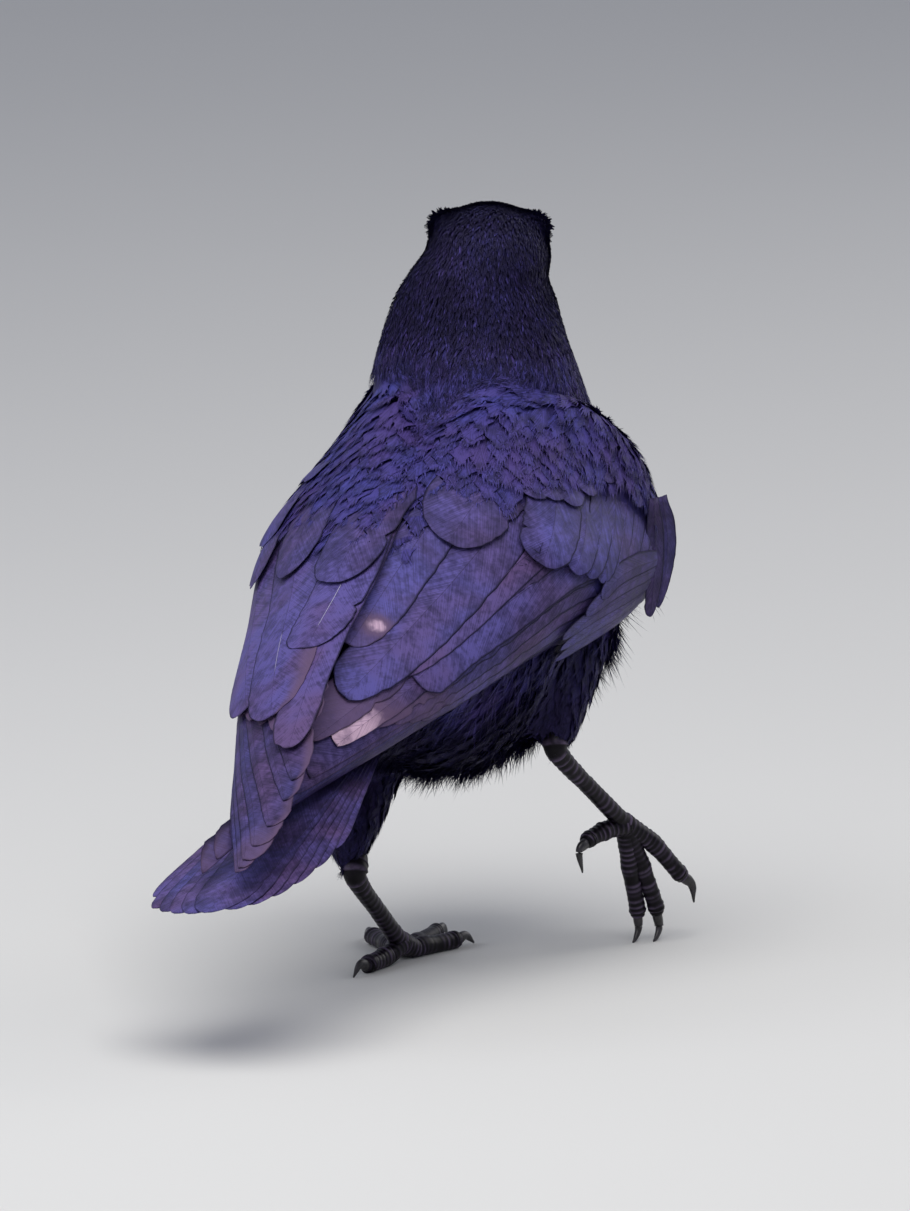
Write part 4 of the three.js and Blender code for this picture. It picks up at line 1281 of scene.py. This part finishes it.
class CROW_OT_skin(bpy.types.Operator):
    """Make one skin for the head, neck, trunk, thighs and wing arms"""
    bl_idname = "crow.skin"
    bl_label = "Skin"

    def execute(self, context):
        s = context.scene.crow_coat
        bm = bmesh.new()
        for node in FLESH:
            bm.from_mesh(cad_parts[node].data)
        bmesh.ops.remove_doubles(bm, verts=bm.verts, dist=1e-5)
        for hand in (-1, 1):
            swell(bm, on_head((6, 13.5 * hand, 11)), HEAD_POSE, (9.5, 15.0, 6.5), 3)
        # The mantle fills the hollow between the shoulders, and the neck runs into it without a crease.
        swell(bm, at((12, -1, 186)), turned(0, -24), (27, 46, 20), 4)
        swell(bm, at((49, 8, 207)), np.eye(3), (27, 18, 26), 4)
        raw = finished("skin_raw", bm, None, None)
        parts = [raw] + [lofted("arm_" + side, arm_rings(side, wing), None, None)
                         for side, wing in WINGS.items()]
        with context.temp_override(active_object=raw, selected_editable_objects=parts):
            bpy.ops.object.join()
        remesh = raw.modifiers.new("one surface", "REMESH")
        remesh.mode, remesh.voxel_size = "VOXEL", s.voxel
        ease = raw.modifiers.new("soften", "SMOOTH")
        ease.factor, ease.iterations = 0.5, 6
        mesh = bpy.data.meshes.new_from_object(raw.evaluated_get(context.evaluated_depsgraph_get()))
        bpy.data.objects.remove(raw)
        mesh.name = "skin"
        places, normals = (read_mesh(mesh.vertices, key, 3) for key in ("co", "normal"))
        _, station, more = LIE.read(places, normals)
        depth = coat_depth(normals, station, more)
        mesh.vertices.foreach_set("co", (places - normals * depth[:, None]).ravel())
        mesh.update()
        bm = bmesh.new()
        bm.from_mesh(mesh)
        for _ in range(3):
            bmesh.ops.smooth_vert(bm, verts=bm.verts, factor=0.5, use_axis_x=True,
                                  use_axis_y=True, use_axis_z=True)
        bmesh.ops.triangulate(bm, faces=bm.faces)
        for face in bm.faces:
            face.smooth = True
        bm.to_mesh(mesh)
        bm.free()
        skin = linked("skin", mesh)
        mesh.uv_layers.new(name="OFBake")
        context.view_layer.objects.active = skin
        skin.select_set(True)
        bpy.ops.object.mode_set(mode="EDIT")
        bpy.ops.mesh.select_all(action="SELECT")
        bpy.ops.uv.smart_project(angle_limit=math.radians(60), island_margin=0.004)
        bpy.ops.object.mode_set(mode="OBJECT")
        skin.select_set(False)
        HIDE["skin"] = hide = Hide(skin)
        more = dict(zip(hide.keys, hide.facts[:, 7:].T))
        tone = coat_tone(hide.facts[:, 6], more, hide.normals) * 0.5
        for label, values in (("tone", tone), ("tint", 0.5 + 0 * tone), ("rim", 0 * tone),
                              ("shaft", 0 * tone), ("wear", 0 * tone)):
            store(mesh, label, values)
        mesh.materials.append(finish_named("body"))
        ridden(skin)
        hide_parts(*FLESH)
        return {"FINISHED"}


class CROW_OT_coat(bpy.types.Operator):
    """Grow the small feathers of the body, one piece for each patch of coat"""
    bl_idname = "crow.coat"
    bl_label = "Body feathers"

    def execute(self, context):
        hide, s = HIDE["skin"], context.scene.crow_coat
        rng = np.random.default_rng(s.seed)
        scale = 1 / math.sqrt(s.density)
        middle = hide.verts[hide.tris].mean(1)
        n, _, station, more = hide.read(np.arange(len(middle)), middle)
        zone = zone_of(n, station, more)
        gap = at_station(station, 3)
        gap = np.where(zone == "wing", 2.6 + 5 * more["s"], gap)
        gap = np.where(zone == "thigh", np.interp(more["down"], (0.2, 1), (4.0, 1.7)), gap) * MM * scale
        clear = clear_of_face(middle)
        for patch, (vary, kind) in PATCHES.items():
            tri, p = hide.scatter(rng, gap, (zone == patch) & clear)
            if not len(p):
                raise RuntimeError("no roots for the coat's patch " + patch)
            n, _, station, more = hide.read(tri, p)
            length, half = at_station(station, 1) * MM, at_station(station, 2) * MM
            depth, tone = coat_depth(n, station, more), coat_tone(station, more, n)
            if patch == "wing":
                length, half = (10.5 + 16 * more["s"]) * MM, (2.8 + 7 * more["s"]) * MM
            elif patch == "thigh":
                length = np.interp(more["down"], (0.2, 1), (15, 7)) * MM
                half = np.interp(more["down"], (0.2, 1), (3.4, 1.2)) * MM
            tone = tone * np.exp(rng.normal(-vary ** 2 / 2, vary, len(p)))
            length = length * rng.normal(1, 0.1, len(p))
            coat = Plumage()
            vanes_over(coat, hide, rng, tri, p, length, half, depth, tone, **kind)
            coat.piece("coat_" + patch, finish_named("body"), "body_feathers")
        return {"FINISHED"}


WING_SEEDS, TAIL_SEED, BRISTLE_SEED = {31: "left", 32: "right"}, 47, 5


class CROW_OT_wings(bpy.types.Operator):
    """Lay the flight feathers, coverts, scapulars and alula of both folded wings"""
    bl_idname = "crow.wings"
    bl_label = "Wings"

    def execute(self, context):
        for seed, side in WING_SEEDS.items():
            rng = np.random.default_rng(seed)
            flight = Plumage()
            for cell, (*feather, extra) in enumerate(wing_feathers(side)):
                add_blade(flight, cell, *feather, rng, **extra)
            piece = flight.piece("wing_feathers_" + side, finish_named("flight"), "flight_feathers")
            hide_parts(*("wing_%s_%s" % (side, part)
                                 for part in ("alula", "coverts", "secondaries", "primaries")))
        return {"FINISHED"}


# How much shorter than the longest the feathers of each pair are, left and right, in millimetres.
TAIL_CUTS = {1: (2, 3, 5, 8, 12, 22), -1: (4, 8, 15, 25, 38, 54)}


class CROW_OT_tail(bpy.types.Operator):
    """Fan the tail's long feathers from the rump"""
    bl_idname = "crow.tail"
    bl_label = "Tail"

    def execute(self, context):
        s = context.scene.crow_wings
        tail, rng, cell = Plumage(), np.random.default_rng(TAIL_SEED), 0
        for pair in reversed(range(s.tail_pairs)):
            for hand in (-1, 1):
                share = (pair + 0.5) / (s.tail_pairs - 0.5)
                cut = TAIL_CUTS[hand][min(pair, 5)]
                turn, long = s.fan * share * hand * (1 if hand > 0 else 0.8), 1 - cut * MM / TAIL_LENGTH
                path = [(x * long * math.cos(turn), hand * 0.015 + x * long * 1.83 * math.sin(turn))
                        for x in (0.02, 0.35, 0.7, 1.0)]
                inner, outer = 13.6, (11.0 - 1.2 * pair if hand > 0 else 9.0 - 1.1 * pair)
                low, high = (outer, inner) if hand < 0 else (inner, outer)
                under = 0.3 if hand < 0 else 0
                height = (-0.68 * pair - under, -0.66 * pair - under)
                # the painted shade along each tail feather's rim is kept faint
                add_blade(tail, cell, TAIL, path, low, high, height, rng, rows=34, tip=(0.86, 0.86),
                          camber=0.15, tone=0.8, splits=0, thick=0.3, droop=0, outline=0.4)
                cell += 1
        piece = tail.piece("tail_feathers", finish_named("flight"), "flight_feathers")
        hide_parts("tail")
        return {"FINISHED"}


BILL_START, BILL_ROOT = 27, 37  # ahead of the head's middle: where the horn starts and is bare
BILL_HALF = 9  # half its width where it starts
BILL_SPREAD = 1.5  # how closely its rings stand towards the tip


def bill_form(x):
    """At x from the bill's start to its tip: its depth and width as shares, and its lip's height."""
    taper = np.sqrt(np.maximum(1 - x ** 2.4, 0.0004))
    return taper, 1 - 0.72 * x, np.minimum(1, taper * 1.1), -6.5 - 4.5 * x ** 3


class CROW_OT_bill(bpy.types.Operator):
    """Shape both halves of the bill, with its ridge, cutting edges and hooked tip"""
    bl_idname = "crow.bill"
    bl_label = "Bill"

    def execute(self, context):
        long = context.scene.crow_bare.bill_length / MM
        for upper in (True, False):
            x = 1 - (1 - np.linspace(0, 1, 34)) ** BILL_SPREAD
            c, sn = np.cos(around(40)), np.sin(around(40))
            taper, narrow, full, lip = bill_form(x)
            ahead = BILL_START + (BILL_ROOT + long - (0 if upper else 3) - BILL_START) * x
            half = (BILL_HALF if upper else 8.5) * narrow * full
            lip = lip - (2.0 * smooth(x, 0.9, 1) if upper else 0)
            deep = (12 if upper else 8.5) * taper
            if upper:
                rise = np.where(sn > 0, np.abs(sn) ** 0.96, -0.05 * np.abs(sn))
            else:
                rise = np.where(sn < 0, -np.abs(sn) ** 0.9, 0.04 * np.abs(sn))
            side = np.sign(c) * np.abs(c) ** np.where(sn > 0, 1.16 if upper else 0.95, 0.95)
            groove = 1 - 0.05 * np.exp(-((np.abs(sn) - 0.35) / 0.12) ** 2)
            rings = np.stack(np.broadcast_arrays(
                ahead[:, None], half[:, None] * (side * groove)[None, :],
                lip[:, None] + deep[:, None] * rise[None, :] + (0.08 if upper else -0.08)), -1)
            which = "upper" if upper else "lower"
            piece = lofted("bill_horn_" + which, on_head(rings), finish_named("bill"), "bill")
            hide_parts("bill_" + which)
        self.bristles(np.random.default_rng(BRISTLE_SEED), BILL_ROOT - BILL_START + long)
        return {"FINISHED"}

    def bristles(self, rng, long):
        """Stiff bristles from the forehead and the gape, lying forward over the bill's root."""
        count, rows = 420, 6
        v = np.linspace(0, 1, rows)[None, :]
        gape = rng.random(count) < 0.2
        hand = rng.choice([-1.0, 1.0], count)
        start = np.where(gape, rng.uniform(31, 36, count), rng.uniform(33, 37.2, count))
        size = np.where(gape, rng.uniform(5, 9, count), rng.uniform(7, 16, count))
        up = np.where(gape, rng.uniform(-0.15, 0.2, count), rng.uniform(0.2, 1.5, count))
        ahead = start[:, None] + size[:, None] * v * np.cos(0.2 * v)
        x = 1 - (1 - np.clip((ahead - BILL_START) / long, 0, 0.95)) ** (1 / BILL_SPREAD)
        taper, narrow, full, lip = bill_form(x)
        angle = up[:, None] - (0.25 + 0.2 * rng.random(count))[:, None] * v * (~gape)[:, None]
        wide = (BILL_HALF * narrow + 0.25) * full * np.cos(angle) ** 1.1
        lift = (0.35 + rng.random(count) * 0.7)[:, None] * (0.4 + 1.1 * v)
        left = hand[:, None] * (wide + lift * np.cos(angle))
        above = lip + (12.2 * taper + lift) * np.sin(angle)
        spine = on_head(np.stack([ahead, left, above], -1))
        along = unit(np.gradient(spine, axis=1))
        out = unit(spine - on_head(np.stack([ahead, 0 * left, np.full_like(left, -7)], -1)))
        across = unit(np.cross(along, out))
        half = 0.24 * MM * (1 - 0.85 * v ** 1.5)[..., None]
        u = np.array([-1.0, 0.0, 1.0])
        top = (spine[:, :, None] + across[:, :, None] * (half[:, :, None] * u[None, None, :, None])
               + out[:, :, None] * (0.12 * MM * (1 - u ** 2))[None, None, :, None])
        vane = np.stack(np.broadcast_arrays(u * 0.0002, size[:, None, None] * MM * v[..., None]), -1)
        ones = np.ones((count, rows, 3))
        values = {"tint": ones * 0.5, "rim": 0 * ones, "shaft": 0 * ones, "wear": 0 * ones,
                  "tone": ones * rng.uniform(0.02, 0.16, count)[:, None, None]}
        cells = 0.01 + 0.0065 * np.stack([np.arange(count) % 21, np.arange(count) // 21], -1)
        coat = Plumage()
        coat.add(top, vane, cells, values)
        coat.piece("coat_bristles", finish_named("body"), "body_feathers")


def eye_finish(name, front):
    """A dark, wet eye with its pupil round the place at its front."""
    made, w, shader = new_material(name)
    away = w.node("VectorMath", operation="SUBTRACT")
    w.put(away.inputs[0], w.place())
    w.put(away.inputs[1], front)
    reach = w.node("VectorMath", operation="LENGTH")
    w.put(reach.inputs[0], away.outputs[0])
    iris = w.blend(w.noise(w.place(), 900, 3.0), colour(20, 12, 9), colour(38, 24, 16))
    pupil = w.ramp(reach.outputs["Value"], 0.0023, 0.0027)
    w.fill(shader, {"Base Color": w.blend(pupil, colour(3, 3, 4), iris), "Roughness": 0.05,
                    "Specular IOR Level": 0.3, "Coat Weight": 0.25, "Coat Roughness": 0.03})
    return made


def lid_rings(centre, turn, out):
    """Rings round a lid: a sloping band from the eyeball's edge out to the skin."""
    turns = around(48)
    ring = np.stack([np.cos(turns) * 5.7, np.sin(turns) * 5.5, 0 * turns + 2.7], -1) * MM
    loop = centre + ring @ turn.T
    thick = 0.55 * MM * (1 + 0.12 * np.cos(turns * 19))  # with fine folds along its edge
    radial = unit(loop - loop.mean(0))
    slope, lift = unit(radial * 0.8 - out * 0.62), unit(radial * 0.62 + out * 0.8)
    return np.stack([loop + slope * (math.cos(a) * 1.9 * MM) + lift * (math.sin(a) * thick)[:, None]
                     for a in around(12)], 1)


class CROW_OT_eyes(bpy.types.Operator):
    """Make the dark eyes and their bare lids"""
    bl_idname = "crow.eyes"
    bl_label = "Eyes"

    def execute(self, context):
        radius = context.scene.crow_bare.eye_radius
        for side, place in zip(("left", "right"), EYES):
            centre = Vector(on_head(place))
            hand = 1 if side == "left" else -1
            out = Vector(HEAD_POSE @ unit(np.array([hand, -0.28, 0.02])))
            bm = bmesh.new()
            bmesh.ops.create_uvsphere(bm, u_segments=40, v_segments=28, radius=radius)
            for vert in bm.verts:
                vert.co *= 1 + 0.05 * max(0.0, vert.co.z / radius) ** 10
            turn = Vector((0, 0, 1)).rotation_difference(out)
            bmesh.ops.rotate(bm, verts=bm.verts, matrix=turn.to_matrix())
            bmesh.ops.translate(bm, verts=bm.verts, vec=centre)
            made = eye_finish("eye " + side, centre + out * radius * 1.05)
            piece = finished("eyeball_" + side, bm, made, "eyes")
            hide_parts("eye_" + side)
            rings = lid_rings(np.array(centre), np.array(turn.to_matrix()), np.array(out))
            lofted("lid_" + side, rings, finish_named("lid"), "eyes", looped=True)
        return {"FINISHED"}


# Knee, ankle and foot, then each toe's joints and claw: forward, left and up in millimetres.
FEET = {
    "left": {
        "shank": ((16, 26, 112), (-38, 14, 40), (6, 14, 7)),
        "hallux": (((-6, 15, 3), (-19, 16, 2.2)), ((-27, 16.5, 4.5), (-32, 17, 0.4))),
        "inner": (((18, 11, 2.6), (36, 5, 2.2)), ((43, 3, 4), (48, 1.5, 0.4))),
        "middle": (((22, 15, 2.6), (47, 17, 2.2)), ((55, 17.5, 4), (61, 18, 0.4))),
        "outer": (((17, 23, 2.6), (31, 36, 2.2)), ((36, 40, 4), (40, 43.5, 0.4))),
    },
    "right": {
        "shank": ((56, -34, 144), (17, -45, 83), (62, -55, 48)),
        "hallux": (((52, -51, 47), (43, -48, 45)), ((36, -47, 42), (38, -47.5, 33))),
        "inner": (((69, -54, 32), (77, -54, 12)), ((78, -54, 4.5), (72.5, -54, -0.7))),
        "middle": (((72, -57, 32), (81, -60, 13)), ((83, -60.5, 4.5), (77.5, -60.5, -0.7))),
        "outer": (((73, -61, 40), (85, -68, 26)), ((90, -71, 21), (90, -72, 14))),
    },
}


class CROW_OT_legs(bpy.types.Operator):
    """Make both feet: scuted shanks and toes, and the claws"""
    bl_idname = "crow.legs"
    bl_label = "Legs"

    def execute(self, context):
        scute = context.scene.crow_bare.scute / MM
        for side, leg in FEET.items():
            knee, ankle, foot = (np.array(place, float) for place in leg["shank"])
            up, x = unit(knee - ankle), np.linspace(0, 1, 120)
            line = through([ankle + up * 9, ankle + up * 1.5, ankle + unit(foot - ankle) * 7,
                            (ankle + foot) / 2, foot - unit(foot - ankle) * 4, foot], x)
            radii = np.interp(x, (0, 0.14, 0.26, 0.55, 0.85, 1.0), (4.4, 5.2, 4.2, 3.3, 3.6, 4.6))
            parts = [self.scuted(line, radii, scute)]
            for toe in ("hallux", "inner", "middle", "outer"):
                joints, claw = leg[toe]
                points = [foot, *[np.array(j, float) for j in joints]]
                start, end = (np.array(place, float) for place in claw)
                points.append(points[-1] + (start - points[-1]) * 0.35)
                x = np.linspace(0, 1, 70)
                line = through(points, x)
                radii = np.interp(x, (0, 0.25, 0.62, 0.9, 1.0), (4.4, 3.5, 3.2, 2.9, 2.3))
                knuckle = np.exp(-((x - 0.36) / 0.06) ** 2) + np.exp(-((x - 0.70) / 0.06) ** 2)
                parts.append(self.scuted(line, radii * (1 + 0.12 * knuckle), scute * 0.72))
                horn = through([points[-2], points[-1], start, end], np.linspace(0.25, 1, 26))
                size = np.interp(np.linspace(0, 1, 26), (0, 0.3, 0.75, 1), (2.3, 2.2, 1.3, 0.35))
                horn[:, 2] = np.maximum(horn[:, 2], size + 0.02)
                rings = tube(at(horn), size[:, None] * MM, 16, 0.78)
                piece = lofted("claw_%s_%s_horn" % (side, toe), rings, finish_named("claw"), "claws")
                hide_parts("claw_%s_%s" % (side, toe))
            whole = parts[0]
            with context.temp_override(active_object=whole, selected_editable_objects=parts):
                bpy.ops.object.join()
            whole.name = whole.data.name = "leg_" + side
            ridden(whole)
            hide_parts("tarsus_" + side, "foot_" + side)
        return {"FINISHED"}

    def scuted(self, line, radii, scute):
        """A limb with overlapping scutes down its front and fine grain behind."""
        step = np.linalg.norm(np.diff(line, axis=0), axis=1)
        far = np.concatenate([[0], np.cumsum(step)])
        phase = (far / scute) % 1.0
        ridge = 0.13 * phase ** 3
        front = 0.5 + 0.5 * np.cos(around(20))
        shape = 1 + ridge[:, None] * (0.35 + 0.65 * front)[None, :]
        places = line.copy()
        places[:, 2] = np.maximum(places[:, 2], radii * 0.98)
        rings = tube(at(places), radii[:, None] * shape * MM, 20, 0.92, start=(0, -1, 0.35))
        rings[..., 2] = np.maximum(rings[..., 2], 0.0)
        limb = lofted("limb", rings, finish_named("scale"), None)
        corners = read_mesh(limb.data.vertices, "co", 3)
        nearest = ((corners[:, None] - at(places)[None]) ** 2).sum(2).argmin(1)
        # ridge marks where the painted highlight falls: the far end of each scute
        store(limb.data, "ridge", (0.04 + 0.96 * smooth(phase, 0.55, 0.95))[nearest])
        return limb


class CROW_PT_panel(bpy.types.Panel):
    """The crow's pieces, in the order that they are made"""
    bl_label = "Carrion crow"
    bl_idname = "CROW_PT_panel"
    bl_space_type = "VIEW_3D"
    bl_region_type = "UI"
    bl_category = "Crow"

    def draw(self, context):
        for name in ("crow_stage", "crow_coat", "crow_wings", "crow_bare"):
            box = self.layout.box()
            settings = getattr(context.scene, name)
            for key in settings.bl_rna.properties.keys():
                if key not in ("rna_type", "name"):
                    box.prop(settings, key)
        for step in STEPS:
            self.layout.operator("crow." + step)


STEPS = ("stage", "skin", "coat", "wings", "tail", "bill", "eyes", "legs")
CLASSES = (CrowCoatSettings, CrowWingSettings, CrowBareSettings, CrowStageSettings, CROW_OT_stage,
           CROW_OT_skin, CROW_OT_coat, CROW_OT_wings, CROW_OT_tail, CROW_OT_bill, CROW_OT_eyes,
           CROW_OT_legs, CROW_PT_panel)
SETTINGS = {"crow_coat": CrowCoatSettings, "crow_wings": CrowWingSettings, "crow_bare": CrowBareSettings,
            "crow_stage": CrowStageSettings}


def register():
    for kind in CLASSES:
        bpy.utils.register_class(kind)
    for name, kind in SETTINGS.items():
        setattr(bpy.types.Scene, name, PointerProperty(type=kind))


def unregister():
    for name in SETTINGS:
        delattr(bpy.types.Scene, name)
    for kind in reversed(CLASSES):
        bpy.utils.unregister_class(kind)


def main():
    register()
    for step in STEPS:
        getattr(bpy.ops.crow, step)()


if __name__ == "__main__":
    main()
